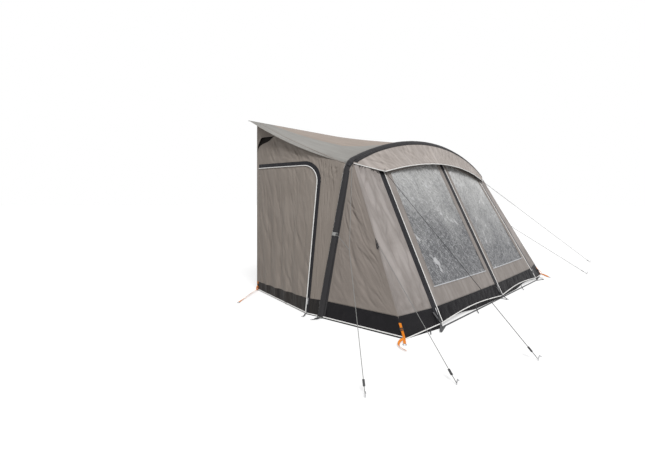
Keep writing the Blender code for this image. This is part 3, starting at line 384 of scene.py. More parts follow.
@dataclass(frozen=True)
class Tape:
    """Webbing, binding or piping with threads across it."""

    name: str
    colour: Colour
    shade: Colour
    rib: float = 0.0022
    roughness: float = 0.75

    def make(self) -> bpy.types.Material:
        """Build the material."""
        graph = Graph(self.name)
        across, along, _ = graph.parts(graph.uv())
        worn = graph.noise(graph.place(), 30.0, 3.0)
        ribs = along.wave(1 / self.rib)
        cords = across.wave(1 / (self.rib * 2))
        colour = graph.mix(ribs * 0.35 + worn * 0.3, self.colour, self.shade)
        normal = graph.bump(ribs + cords * 0.5, self.rib * 0.3, 0.7)
        graph.set(Base_Color=colour, Roughness=worn * 0.15 + self.roughness, Normal=normal,
                  Sheen_Weight=0.1)
        return graph.material


@dataclass(frozen=True)
class Moulding:
    """Moulded plastic or plated metal with a fine grain."""

    name: str
    colour: Colour
    shade: Colour
    roughness: float = 0.4
    metallic: float = 0.0
    grain: float = 0.0004

    def make(self) -> bpy.types.Material:
        """Build the material."""
        graph = Graph(self.name)
        place = graph.place()
        grain = graph.noise(place, 900.0, 2.0)
        wear = graph.noise(place, 45.0, 4.0)
        colour = graph.mix(wear.above(0.55, 0.3), self.colour, self.shade)
        graph.set(Base_Color=colour, Roughness=wear * 0.2 + (self.roughness - 0.1), Metallic=self.metallic,
                  Normal=graph.bump(grain, self.grain, 0.4))
        return graph.material


@dataclass
class Finishes:
    """Every finish of the awning, made once."""

    wall: Weave = Weave("wall_cloth", linear(151, 142, 134), linear(142, 133, 125), lean=-14, gloss=0.2,
                        band=linear(20, 19, 20))
    gusset: Weave = Weave("gusset_cloth", linear(148, 139, 132), linear(139, 130, 123), lean=-42,
                          crinkle=0.009)
    # The corner panels' high amount towards the ground is painted shade at their foot, and they have a strong
    # painted shade along their creases.
    corner: Weave = Weave("corner_cloth", linear(174, 167, 164), linear(162, 155, 151), lean=-6,
                          crinkle=0.015, mark=0.44, dust=0.8)
    # The front and brow cloths also have a strong painted shade along their creases.
    front: Weave = Weave("front_cloth", linear(160, 153, 149), linear(150, 143, 138), lean=-6, crinkle=0.012,
                         mark=0.34)
    brow: Weave = Weave("brow_cloth", linear(192, 184, 179), linear(181, 172, 166), crinkle=0.015, mark=0.42,
                        lean=-24)
    # The roof's grey colour is a painted sky reflection; the wing colour is the cloth's own taupe in the
    # middle.
    roof: Weave = Weave("roof_cloth", linear(160, 158, 154), linear(152, 150, 146), crinkle=0.004,
                        wing=linear(166, 153, 143))
    skirt: Weave = Weave("skirt_cloth", linear(25, 24, 28), linear(17, 16, 19), roughness=0.55, sheen=0.0,
                         gloss=0.16, dust=0.03)
    sleeve: Weave = Weave("sleeve_cloth", linear(57, 56, 58), linear(47, 46, 48), roughness=0.62, sheen=0.0,
                          gloss=0.22, dust=0.05)
    tape: Weave = Weave("strip_tape", linear(34, 34, 39), linear(24, 24, 28), roughness=0.5, sheen=0.0,
                        gloss=0.22, crinkle=0.012, dust=0.03)
    # The vent mesh's very dark colour is partly the mesh and partly painted shadow under the hood.
    mesh: Weave = Weave("vent_mesh", linear(34, 30, 27), linear(22, 20, 18), thread=0.003, sheen=0.0,
                        gloss=0.1)
    pad: Weave = Weave("pad_foam", linear(120, 112, 105), linear(105, 98, 92), roughness=0.85)
    # The window film's second colour is a painted sky reflection; its shadow and glint colours are painted
    # shade and painted highlights.
    film: Film = Film("window_film", linear(101, 102, 105), linear(204, 204, 202), linear(76, 77, 80),
                      linear(240, 240, 242))
    piping: Tape = Tape("piping_tape", linear(253, 252, 250), linear(244, 242, 239), roughness=0.45)
    grey: Tape = Tape("webbing_grey", linear(90, 90, 92), linear(66, 66, 68))
    pale_grey: Tape = Tape("webbing_pale", linear(172, 172, 170), linear(140, 140, 138))
    orange: Tape = Tape("webbing_orange", linear(252, 152, 24), linear(222, 112, 20))
    cord: Tape = Tape("guy_braid", linear(150, 150, 148), linear(96, 96, 96), rib=0.003)
    # Painted shade: the same braid as cord, darker for the lines that lie in shade.
    dark_cord: Tape = Tape("guy_braid_dark", linear(40, 40, 42), linear(26, 26, 28), rib=0.003)
    vinyl: Tape = Tape("keder_vinyl", linear(222, 222, 218), linear(196, 196, 192), roughness=0.4)
    plastic: Moulding = Moulding("black_plastic", linear(38, 38, 40), linear(58, 58, 60))
    metal: Moulding = Moulding("zinc_metal", linear(188, 188, 190), linear(150, 150, 152), 0.36, 1.0)
    rubber: Moulding = Moulding("foot_rubber", linear(44, 44, 46), linear(62, 61, 60), 0.7)
    sleeve_edge: Tape = Tape("sleeve_edge", linear(46, 45, 47), linear(34, 34, 36), rib=0.002)
    roof_edge: Tape = Tape("roof_edge", linear(186, 182, 176), linear(166, 162, 156), rib=0.002)
    welt: Tape = Tape("window_welt", linear(214, 216, 220), linear(190, 192, 196), rib=0.002, roughness=0.5)
    seam: Tape = Tape("corner_seam", linear(150, 141, 134), linear(136, 127, 120), rib=0.002)
    pale_thread: Tape = Tape("pale_thread", linear(132, 130, 132), linear(110, 108, 110), rib=0.001)
    thread: Tape = Tape("seam_thread", linear(116, 108, 102), linear(96, 90, 84), rib=0.001)
    bladder: Moulding = Moulding("bladder_film", linear(200, 202, 196), linear(184, 186, 180), 0.35)
    made: dict[str, bpy.types.Material] = field(default_factory=dict)

    def __getitem__(self, name: str) -> bpy.types.Material:
        """Return the material of a finish, making it at its first use."""
        if name not in self.made:
            self.made[name] = getattr(self, name).make()
        return self.made[name]


# The lines of the awning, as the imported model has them


class Side(Enum):
    """The two sides of the awning, seen from outside its front."""

    LEFT = -1
    RIGHT = 1

    @property
    def word(self) -> str:
        """Return the side's name in a node's name."""
        return self.name.lower()

    def place(self, point: Vector) -> Vector:
        """Return a point of the left side, or its mirror image on the right."""
        return Vector((-point.x, point.y, point.z)) if self is Side.RIGHT else point


@dataclass(frozen=True)
class Section:
    """One cross-section of the air beam."""

    centre: Vector
    normal: Vector
    front: Vector

    def rim(self, angle: float, radius: float) -> Vector:
        """Return the point at this angle from the front, turned outwards."""
        return self.centre + (self.front * math.cos(angle) + self.normal * math.sin(angle)) * radius

    def climb(self) -> Vector:
        """Return the upward direction of the beam here."""
        way = self.normal.cross(self.front).normalized()
        return way if way.z > 0 else -way


@dataclass
class Arch:
    """The air beam's line: two leaning legs, round shoulders and a flat crown."""

    foot_half_width: float = 2.21
    foot_y: float = -0.1725
    lean: float = math.radians(1.6)
    leg_lean: float = math.radians(13.0)
    crown_height: float = 2.152
    crown_radius: float = 4.40
    shoulder_radius: float = 0.16
    tube_radius: float = 0.050
    seam_angle: float = math.radians(30.0)
    shoulder_seam_angle: float = math.radians(12.0)
    strip_half_width: float = 1.41
    seam_radius: float = 0.0518

    def __post_init__(self) -> None:
        """Work out the shoulder's centre and the angles where the curves meet."""
        self.front = Vector((0, -math.cos(self.lean), -math.sin(self.lean)))
        self.crown_centre = self.crown_height - self.tube_radius - self.crown_radius
        across = Vector((math.cos(self.leg_lean), math.sin(self.leg_lean)))
        climb = Vector((-across.y, across.x))
        line = self.foot_half_width * across.x - self.shoulder_radius
        base = Vector((across.x * line, across.y * line - self.crown_centre))
        half = base.dot(climb)
        rest = base.length_squared - (self.crown_radius - self.shoulder_radius) ** 2
        self.shoulder = across * line + climb * (math.sqrt(half * half - rest) - half)
        self.leg_end = self.shoulder + across * self.shoulder_radius
        self.crown_angle = math.atan2(self.shoulder.y - self.crown_centre, self.shoulder.x)
        self.half_angle = (self.leg_lean + self.crown_angle) / 2
        self.half_span = self.shoulder.x + self.shoulder_radius * math.cos(self.half_angle)
        self.strip_share = self.strip_half_width / self.half_span

    def section(self, x: float, height: float, angle: float, side: int) -> Section:
        """Return the section with this centre and outward slope.

        Args:
            x: how far out its centre is.
            height: its height.
            angle: how steeply its outward side rises.
            side: -1 on the left, 1 on the right.

        Returns:
            The section.
        """
        centre = Vector((side * x, self.foot_y - height * math.tan(self.lean), height))
        rise = math.sin(angle)
        normal = Vector((side * math.cos(angle), -rise * math.sin(self.lean), rise * math.cos(self.lean)))
        return Section(centre, normal, self.front)

    def on_shoulder(self, angle: float, side: int) -> Section:
        """Return a section of the round shoulder."""
        spoke = Vector((math.cos(angle), math.sin(angle))) * self.shoulder_radius
        return self.section(self.shoulder.x + spoke.x, self.shoulder.y + spoke.y, angle, side)

    def on_leg(self, share: float, side: int) -> Section:
        """Return a section of the leg, share 0 at the ground to 1 at the shoulder's start."""
        x = self.foot_half_width + (self.leg_end.x - self.foot_half_width) * share
        return self.section(x, self.leg_end.y * share, self.leg_lean, side)

    def at(self, share: float) -> Section:
        """Return the section over a share of the span, -1 at the left shoulder to 1."""
        side = 1 if share >= 0 else -1
        x = abs(share) * self.half_span
        if x <= self.crown_radius * math.cos(self.crown_angle):
            angle = math.acos(x / self.crown_radius)
            return self.section(x, self.crown_centre + self.crown_radius * math.sin(angle), angle, side)
        spoke = min(max((x - self.shoulder.x) / self.shoulder_radius, -1.0), 1.0)
        return self.on_shoulder(math.acos(spoke), side)

    def seam_turn(self, share: float) -> float:
        """Return the seam's angle on the beam, which closes up towards the shoulders."""
        fade = (1 - abs(share)) / (1 - self.strip_share)
        return self.shoulder_seam_angle + (self.seam_angle - self.shoulder_seam_angle) * min(1.0, fade)

    def leg_seam(self, angle: float, radius: float, last: float | None = None,
                 steps: int = 40) -> list[Vector]:
        """Return the left leg's seam from the ground to the middle of the shoulder.

        Args:
            angle: the seam's turn from the front.
            radius: its distance from the beam's middle.
            last: its turn at the shoulder's middle, if that differs.
            steps: how many steps the leg takes.

        Returns:
            Points from the ground up.
        """
        turn = (angle if last is None else last) - angle
        made = [self.on_leg(k / steps, -1).rim(angle, radius) for k in range(steps)]
        climb = (made[1] - made[0]).normalized()
        made[0] -= climb * (made[0].z / climb.z)
        for k in range(steps // 4 + 1):
            share = k / (steps // 4)
            bend = self.leg_lean + (self.half_angle - self.leg_lean) * share
            made.append(self.on_shoulder(bend, -1).rim(angle + turn * share, radius))
        return made

    def spine(self, steps: int = 60) -> list[Section]:
        """Return the sections along the whole beam from the left foot to the right."""
        half = [self.on_leg(share, -1) for share in even(0, 1, 24)[:-1]]
        half += [self.on_shoulder(angle, -1) for angle in even(self.leg_lean, self.crown_angle, 12)[:-1]]
        for angle in even(self.crown_angle, math.pi / 2, steps):
            half.append(self.section(self.crown_radius * math.cos(angle),
                                     self.crown_centre + self.crown_radius * math.sin(angle), angle, -1))
        mirror = Side.RIGHT.place
        return half + [Section(mirror(s.centre), mirror(s.normal), s.front) for s in half[-2::-1]]


class Chain:
    """A line of points that is read by height."""

    def __init__(self, points: Sequence[Vector]) -> None:
        """Keep the points, which rise all the way."""
        self.points = list(points)
        self.heights = np.array([p.z for p in points])
        self.coords = np.array([tuple(p) for p in points])

    def at(self, height: float) -> Vector:
        """Return the point at this height."""
        return Vector([float(np.interp(height, self.heights, self.coords[:, k])) for k in range(3)])


@dataclass
class Lines:
    """The surfaces of the roof, the brow, the front and the side walls."""

    arch: Arch
    rear_y: float = 1.3425
    corner_y: float = -1.1575
    rail_half: float = 2.20
    rail_height: float = 2.40
    rail_setback: float = 0.02405
    edge_sag: float = 0.063
    middle_sag: float = 0.020
    tip_half_width: float = 1.42
    tip_setback: float = 0.722
    tip_height: float = 1.622
    brow_setback: float = 0.665
    brow_height: float = 1.800
    brow_sag: float = 0.018
    corner_half: float = 2.10
    strip_foot_half: float = 1.57
    strip_foot_reach: float = 0.090
    centre_reach: float = 0.112
    wall_rear_half: float = 2.05
    door_foot_half: float = 2.268
    door_foot_setback: float = 1.18
    door_lean: float = math.radians(5.47)
    tuck: float = 0.014
    roof_gap: float = 0.0057

    def __post_init__(self) -> None:
        """Find the walls' lines."""
        arch = self.arch
        leg = arch.leg_seam(math.pi - arch.seam_angle, arch.seam_radius)
        leg[-1] += (leg[-2] - leg[-1]).normalized() * self.tuck
        self.leg = Chain(sorted(leg, key=lambda p: p.z))
        self.tip = leg[-1]
        self.edge_y = self.rear_y - 0.00105
        ys = np.linspace(self.edge_y, self.tip.y - 0.01, 90)[::-1]
        self.tops = (ys, np.array([self._top_at(float(y)).z for y in ys]))
        self.rear_top = self.top_at(self.edge_y)
        self.door_foot = Vector((-self.door_foot_half, self.corner_y + self.door_foot_setback, 0))
        high = self.top_at(self.door_foot.y + self.rail_height * math.tan(self.door_lean))
        self.door_top = self.top_at(self.door_foot.y + high.z * math.tan(self.door_lean))
        self.crease_foot = Vector((-self.corner_half, self.corner_y, 0))
        self.crease_head = self.front_head(-1.0)
        near = arch.leg_seam(arch.seam_angle, arch.seam_radius + 0.0006, arch.shoulder_seam_angle / 2)
        self.near = Chain(sorted(near, key=lambda p: p.z))

    def roof(self, share: float, depth: float) -> Vector:
        """Return a point of the roof: share across, depth 0 at the rail to 1 at the beam.

        Args:
            share: -1 at the left edge to 1 at the right.
            depth: 0 at the rail to 1 at the beam.

        Returns:
            The point.
        """
        head = self.arch.at(share).rim(math.pi - self.arch.seam_angle, self.arch.tube_radius + 0.0003)
        rail = Vector((share * self.rail_half, self.rear_y - self.rail_setback, self.rail_height))
        sag = self.middle_sag + (self.edge_sag - self.middle_sag) * share ** 4
        return rail.lerp(head, depth) - UP * (sag * 4 * depth * (1 - depth))

    def brow_edge(self, share: float) -> Vector:
        """Return a point of the brow's free edge."""
        drop = share * share
        return Vector((share * self.tip_half_width,
                       self.corner_y + self.brow_setback + (self.tip_setback - self.brow_setback) * drop,
                       self.brow_height + (self.tip_height - self.brow_height) * drop))

    def brow(self, share: float, down: float) -> Vector:
        """Return a point of the brow, down 0 at the beam to 1 at the free edge."""
        head = self.arch.at(share).rim(self.arch.seam_turn(share), self.arch.seam_radius)
        hang = math.sin(math.pi * down) * self.brow_sag * (1 - share * share)
        return head.lerp(self.brow_edge(share), down) + Vector((0, hang, -hang / 2))

    def front_foot(self, share: float) -> Vector:
        """Return a point of the front's ground line."""
        spread, side = abs(share), (1 if share >= 0 else -1)
        strip = self.arch.strip_share
        if spread <= strip:
            t = spread / strip
            reach = self.centre_reach + (self.strip_foot_reach - self.centre_reach) * t
            return Vector((side * self.strip_foot_half * t, self.corner_y - reach, 0))
        t = (spread - strip) / (1 - strip)
        return Vector((side * (self.strip_foot_half + (self.corner_half - self.strip_foot_half) * t),
                       self.corner_y - self.strip_foot_reach * (1 - t), 0))

    def front_head(self, share: float) -> Vector:
        """Return where the front meets the beam."""
        return self.arch.at(share).rim(-self.arch.seam_turn(share), self.arch.seam_radius)

    def front(self, share: float, height: float) -> Vector:
        """Return a point of the front wall at this height."""
        head = self.front_head(share)
        return self.front_foot(share).lerp(head, height / head.z)

    def front_share(self, x: float, height: float) -> float:
        """Return the share at which the front wall has this X at this height.

        Args:
            x: how far across.
            height: how high.

        Returns:
            The share.
        """
        share = x / self.corner_half
        for _ in range(8):
            share += (x - self.front(share, height).x) / self.corner_half
        return share

    def _top_at(self, y: float) -> Vector:
        """Find where the wall meets the roof at this Y."""
        along = (self.edge_y - y) / (self.edge_y - self.tip.y)
        x = self.wall_rear_half - (self.tip.x + self.wall_rear_half) * along
        share, depth = min(x / self.rail_half, 1.0), 0.0
        for _ in range(6):
            rail, head = self.roof(share, 0), self.roof(share, 1)
            depth = max(0.0, min(1.0, (rail.y - y) / (rail.y - head.y)))
            share = min(x / self.roof(1.0, depth).x, 1.0)
        height = self.roof(share, depth).z - self.roof_gap
        return Vector((-x, y, min(height, self.tip.z) if along > 1 - 0.0003 else height))

    def top_at(self, y: float) -> Vector:
        """Return where the wall meets the roof at this Y, read from the table."""
        along = (self.edge_y - y) / (self.edge_y - self.tip.y)
        x = -self.wall_rear_half + (self.tip.x + self.wall_rear_half) * along
        return Vector((x, y, float(np.interp(y, *self.tops))))

    def door_edge(self, share: float) -> Vector:
        """Return a point of the line that the door's front edge follows."""
        return self.door_foot.lerp(self.door_top, share)

    def wall(self, along: float, share: float) -> Vector:
        """Return a point of the left wall: along 0 at the caravan, 1 at the door's edge, 2 at the beam.

        Args:
            along: 0 at the caravan, 1 at the door's edge, 2 at the beam.
            share: 0 at the ground to 1.

        Returns:
            The point.
        """
        rear = Vector((-self.wall_rear_half, self.edge_y, self.rear_top.z * share))
        middle = self.door_edge(share)
        if along <= 1:
            here, ends, local = rear.lerp(middle, along), (self.rear_top, self.door_top), along
        else:
            here = middle.lerp(self.leg.at(self.tip.z * share), along - 1)
            ends, local = (self.door_top, self.tip), along - 1
        straight = ends[0].lerp(ends[1], local)
        drop = straight.z - self.top_at(straight.y).z if 0 < local < 1 else 0.0
        return here - UP * (drop * share ** 3)

    def wall_place(self, y: float, height: float) -> Pair:
        """Return the wall's own coordinates of a place behind the door's front edge.

        Args:
            y: the place's Y.
            height: its height.

        Returns:
            How far along, and the share of the height.
        """
        along, share = 0.0, height / self.rear_top.z
        for _ in range(10):
            found = self.wall(along, share)
            along += (found.y - y) / (self.edge_y - self.door_edge(share).y)
            share += (height - found.z) / self.rear_top.z
        return along, share

    def crease(self, share: float) -> Vector:
        """Return a point of the corner crease, share of its height."""
        return self.crease_foot.lerp(self.crease_head, share)

    def side_front(self, along: float, share: float) -> Vector:
        """Return a point of the wall between the leg and the crease, along 0 at the leg to 1."""
        return self.near.at(self.near.points[-1].z * share).lerp(self.crease(share), along)


# Cloth and tubes as meshes


def inside(points: np.ndarray, loop: np.ndarray) -> np.ndarray:
    """Tell which points lie inside a closed outline.

    Args:
        points: the points, one to a row.
        loop: the outline.

    Returns:
        True for each point that does.
    """
    x, y = points[:, 0], points[:, 1]
    found = np.zeros(len(points), bool)
    for (x0, y0), (x1, y1) in zip(loop, np.roll(loop, -1, axis=0)):
        if y0 != y1:
            found ^= ((y0 > y) != (y1 > y)) & (x < (x1 - x0) * (y - y0) / (y1 - y0) + x0)
    return found


def distance(points: np.ndarray, loop: np.ndarray) -> np.ndarray:
    """Return how far points lie from a closed outline.

    Args:
        points: the points, one to a row.
        loop: the outline.

    Returns:
        The distance of each.
    """
    best = np.full(len(points), 1e9)
    for start, end in zip(loop, np.roll(loop, -1, axis=0)):
        run = end - start
        t = np.clip(((points - start) @ run) / max(float(run @ run), 1e-12), 0, 1)
        best = np.minimum(best, np.linalg.norm(points - (start + t[:, None] * run), axis=1))
    return best


def finer(loop: Sequence[Pair], spacing: float, closed: bool = True) -> list[Pair]:
    """Return an outline with points no further apart than spacing.

    Args:
        loop: the outline's corners.
        spacing: the longest step.
        closed: whether the last point joins the first.

    Returns:
        The outline with the new points.
    """
    made = []
    count = len(loop)
    for i in range(count if closed else count - 1):
        (x0, y0), (x1, y1) = loop[i], loop[(i + 1) % count]
        steps = max(1, math.ceil(math.hypot(x1 - x0, y1 - y0) / spacing))
        made += [(x0 + (x1 - x0) * k / steps, y0 + (y1 - y0) * k / steps) for k in range(steps)]
    return made if closed else made + [loop[-1]]


def rounded(points: Sequence[Pair], radii: Sequence[float], steps: int = 10) -> list[Pair]:
    """Return an outline with rounded corners.

    Args:
        points: the corners.
        radii: the radius at each, 0 for a sharp one.
        steps: how many steps round takes.

    Returns:
        The rounded outline.
    """
    made = []
    for i, (corner, radius) in enumerate(zip(points, radii)):
        here = Vector(corner)
        if not radius:
            made.append(tuple(here))
            continue
        back = (Vector(points[i - 1]) - here).normalized()
        ahead = (Vector(points[(i + 1) % len(points)]) - here).normalized()
        half = back.angle(ahead) / 2
        centre = here + (back + ahead).normalized() * (radius / math.sin(half))
        start, end = (here + way * (radius / math.tan(half)) - centre for way in (back, ahead))
        made += [tuple(centre + start.lerp(end, k / steps).normalized() * radius) for k in range(steps + 1)]
    return made


def grown(outline: Sequence[Pair], reach: float) -> list[Pair]:
    """Grow a closed outline by reach, or shrink it where reach is negative.

    Args:
        outline: its points, either way round.
        reach: how far they move out.

    Returns:
        The new outline.
    """
    made = []
    count = len(outline)
    area = sum(outline[i - 1][0] * outline[i][1] - outline[i][0] * outline[i - 1][1] for i in range(count))
    turn = 1.0 if area > 0 else -1.0
    for i in range(count):
        before, here, after = (Vector(outline[j % count]) for j in (i - 1, i, i + 1))
        first, second = (here - before).normalized(), (after - here).normalized()
        normals = [Vector((d.y, -d.x)) * turn for d in (first, second)]
        mean = (normals[0] + normals[1]).normalized()
        made.append(tuple(here + mean * (reach / max(mean.dot(normals[0]), 0.5))))
    return made


def new_piece(name: str, mesh: bpy.types.Mesh, finish: bpy.types.Material) -> bpy.types.Object:
    """Put a mesh into the scene as one smooth piece."""
    mesh.materials.append(finish)
    mesh.shade_smooth()
    return linked(name, mesh)


def rows_piece(name: str, rows: Sequence[Sequence[Vector]], finish: bpy.types.Material,
               spot: Callable[[int, int], Pair] | None = None, ringed: bool = False, capped: bool = False,
               looped: bool = False) -> bpy.types.Object:
    """Make a piece from rows of points, with a quad between each four.

    Args:
        name: the piece's name.
        rows: its points, row by row.
        finish: its material.
        spot: the UV place of a column and a row, if the piece has one.
        ringed: whether each row closes on itself.
        capped: whether the first and the last ring are filled.
        looped: whether the last row joins the first.

    Returns:
        The new piece.
    """
    bm = bmesh.new()
    layer = bm.loops.layers.uv.new("UVMap") if spot else None
    verts = [[bm.verts.new(point) for point in row] for row in rows]
    count = len(rows[0])
    for k in range(len(rows) if looped else len(rows) - 1):
        here, ahead = verts[k], verts[(k + 1) % len(rows)]
        for j in range(count if ringed else count - 1):
            i = (j + 1) % count
            face = bm.faces.new((here[j], here[i], ahead[i], ahead[j]))
            for loop, corner in zip(face.loops, ((j, k), (j + 1, k), (j + 1, k + 1), (j, k + 1))):
                if spot:
                    loop[layer].uv = spot(*corner)
    if capped:
        bm.faces.new(verts[0][::-1])
        bm.faces.new(verts[-1])
    if ringed and not capped:
        bmesh.ops.remove_doubles(bm, verts=bm.verts, dist=1e-6)
        bmesh.ops.recalc_face_normals(bm, faces=bm.faces)
    mesh = bpy.data.meshes.new(name)
    bm.to_mesh(mesh)
    bm.free()
    return new_piece(name, mesh, finish)


def thicken(piece: bpy.types.Object, thickness: float) -> bpy.types.Object:
    """Give a flat piece its thickness, half on each side."""
    wall = piece.modifiers.new("cloth", "SOLIDIFY")
    wall.thickness = thickness
    wall.offset = 0.0
    return piece


@dataclass
class Cut:
    """A cloth piece cut to an outline on a surface.

    The outline is in the surface's own coordinates, which are scaled by stretch to be about metres.
    """

    name: str
    surface: Surface
    outline: Sequence[Pair]
    outward: Vector
    finish: bpy.types.Material
    side: Side = Side.LEFT
    stretch: Pair = (1.0, 1.0)
    holes: Sequence[Sequence[Pair]] = ()
    spacing: float = 0.022
    relief: Relief | None = None
    hem: float = 0.06
    rest: float = 0.0
    lift: float = 0.0
    thickness: float = 0.0014
    flat: Pair = (0.0, 0.0)
    area: float = 0.0

    def make(self) -> bpy.types.Object:
        """Cut the piece, fold it and give it its thickness."""
        wide = np.array(self.stretch)
        loops = [np.array(finer([tuple(np.array(p) * wide) for p in loop], self.spacing))
                 for loop in [self.outline, *self.holes]]
        low, high = loops[0].min(0), loops[0].max(0)
        counts = np.maximum(np.ceil((high - low) / self.spacing).astype(int), 2)
        grid = np.array([(low[0] + (high[0] - low[0]) * (i + 0.5 * (j % 2)) / counts[0],
                          low[1] + (high[1] - low[1]) * j / counts[1])
                         for j in range(1, counts[1]) for i in range(counts[0] + 1)])
        keep = inside(grid, loops[0])
        for k, loop in enumerate(loops):
            if k:
                keep &= ~inside(grid, loop)
            keep &= distance(grid, loop) > self.spacing * 0.55
        grid = grid[keep]
        flat, edges, start = [], [], 0
        for loop in loops:
            flat += [Vector(p) for p in loop]
            edges += [(start + k, start + (k + 1) % len(loop)) for k in range(len(loop))]
            start = len(flat)
        flat += [Vector(p) for p in grid]
        points, _, faces, *_ = delaunay_2d_cdt(flat, edges, [], 0, 1e-7)
        coords = np.array([tuple(p) for p in points])
        middles = np.array([coords[list(f)].mean(0) for f in faces])
        good = inside(middles, loops[0])
        for loop in loops[1:]:
            good &= ~inside(middles, loop)
        return self._skin(coords, [f for f, keep_it in zip(faces, good) if keep_it], wide)

    def _skin(self, coords: np.ndarray, faces: list, wide: np.ndarray) -> bpy.types.Object:
        """Lay the cut shape on its surface, with its folds.

        Args:
            coords: the points in the surface's scaled coordinates.
            faces: triangles of them.
            wide: the scale.

        Returns:
            The new piece.
        """
        bm = bmesh.new()
        verts = [bm.verts.new(self.side.place(self.surface(float(u / wide[0]), float(v / wide[1]))))
                 for u, v in coords]
        layer = bm.loops.layers.uv.new("UVMap")
        for face in faces:
            made = bm.faces.new([verts[k] for k in face])
            for loop, k in zip(made.loops, face):
                loop[layer].uv = coords[k]
        loose = [v for v in bm.verts if not v.link_faces]
        bm.normal_update()
        self.area = sum(f.calc_area() for f in bm.faces)
        places = np.array([tuple(v.co) for v in bm.verts if v.link_faces])
        size = places.max(0) - places.min(0)
        width = float(max(size[0], size[1]))
        self.flat = (width, max(math.hypot(min(size[0], size[1]), size[2]), self.area / width * 1.002))
        facing = sum((f.normal * f.calc_area() for f in bm.faces), Vector())
        if facing.dot(self.side.place(self.outward)) < 0:
            bmesh.ops.reverse_faces(bm, faces=bm.faces)
            bm.normal_update()
        if self.relief or self.lift:
            self._fold(bm, verts, coords)
        bmesh.ops.delete(bm, geom=loose, context="VERTS")
        mesh = bpy.data.meshes.new(self.name)
        bm.to_mesh(mesh)
        bm.free()
        return thicken(new_piece(self.name, mesh, self.finish), self.thickness)

    def _fold(self, bm: bmesh.types.BMesh, verts: list, coords: np.ndarray) -> None:
        """Move the points along their normals by the relief, which fades out at the sewn edges.

        Args:
            bm: the mesh.
            verts: its points.
            coords: their scaled coordinates.
        """
        rim = [v for v in bm.verts if v.is_boundary]
        tree = kdtree.KDTree(len(rim))
        for k, vert in enumerate(rim):
            tree.insert(vert.co, k)
        tree.balance()
        moved = []
        for vert, (u, v) in zip(verts, coords):
            deep = self.lift
            if self.relief and vert.link_faces:
                fade = smooth(self.rest, self.rest + self.hem, tree.find(vert.co)[2])
                deep += self.relief(vert.co, float(u), float(v)) * fade
            moved.append(vert.co + vert.normal * deep)
        for vert, point in zip(verts, moved):
            vert.co = point


def reaches(path: Sequence[Vector]) -> list[float]:
    """Return the length of a path up to each of its points."""
    lengths = [0.0]
    for a, b in zip(path, path[1:]):
        lengths.append(lengths[-1] + (b - a).length)
    return lengths


def resampled(path: Sequence[Vector], spacing: float) -> list[Vector]:
    """Return points at even steps along a path.

    Args:
        path: the points.
        spacing: about how far apart the new ones are.

    Returns:
        The new points.
    """
    lengths = reaches(path)
    steps = max(2, round(lengths[-1] / spacing))
    found = []
    for k in range(steps + 1):
        reach = lengths[-1] * k / steps
        i = min(max(int(np.searchsorted(lengths, reach)) - 1, 0), len(path) - 2)
        run = lengths[i + 1] - lengths[i]
        found.append(path[i].lerp(path[i + 1], (reach - lengths[i]) / run if run else 0.0))
    return found


def frames(path: Sequence[Vector]) -> list[tuple[Vector, Vector, Vector]]:
    """Return the direction and two cross directions at each point, carried along without twist.

    Args:
        path: the points.

    Returns:
        The direction and the two cross directions of each.
    """
    made = []
    side = None
    for k in range(len(path)):
        along = (path[min(k + 1, len(path) - 1)] - path[max(k - 1, 0)]).normalized()
        if side is None:
            side = along.orthogonal().normalized()
        side = (side - along * side.dot(along)).normalized()
        made.append((along, side, along.cross(side)))
    return made


def tube(name: str, path: Sequence[Vector], radius: float | Callable[[float, float, Vector], float],
         finish: bpy.types.Material, sides: int = 8) -> bpy.types.Object:
    """Make a round cord, pipe or piping along a path.

    Args:
        name: the piece's name.
        path: points along its middle.
        radius: its radius, or a rule of the length so far, the turn and the place.
        finish: its material.
        sides: how many sides it has.

    Returns:
        The new piece.
    """
    lengths = reaches(path)
    turns = even(0, 2 * math.pi, sides)[:-1]
    rings = []
    for reach, here, (_, right, up) in zip(lengths, path, frames(path)):
        sizes = [radius(reach, turn, here) if callable(radius) else radius for turn in turns]
        rings.append([here + (right * math.cos(turn) + up * math.sin(turn)) * size
                      for turn, size in zip(turns, sizes)])
    width = 2 * math.pi * (TUBE_RADIUS if callable(radius) else radius) / sides
    return rows_piece(name, rings, finish, lambda column, row: (column * width, lengths[row]), ringed=True,
                      capped=True)


def band(name: str, path: Sequence[Vector], across: Sequence[Vector], width: float, thickness: float,
         finish: bpy.types.Material) -> bpy.types.Object:
    """Make a flat strap along a path, with the direction of its width at each point.

    Args:
        name: the piece's name.
        path: points along its middle.
        across: the direction of its width at each.
        width: its width.
        thickness: its thickness.
        finish: its material.

    Returns:
        The new piece.
    """
    columns, lengths = 4, reaches(path)
    rows = [[here + way * width * share for share in even(-0.5, 0.5, columns)]
            for here, way in zip(path, across)]
    flat = rows_piece(name, rows, finish, lambda column, row: (column * width / columns, lengths[row]))
    return thicken(flat, thickness)


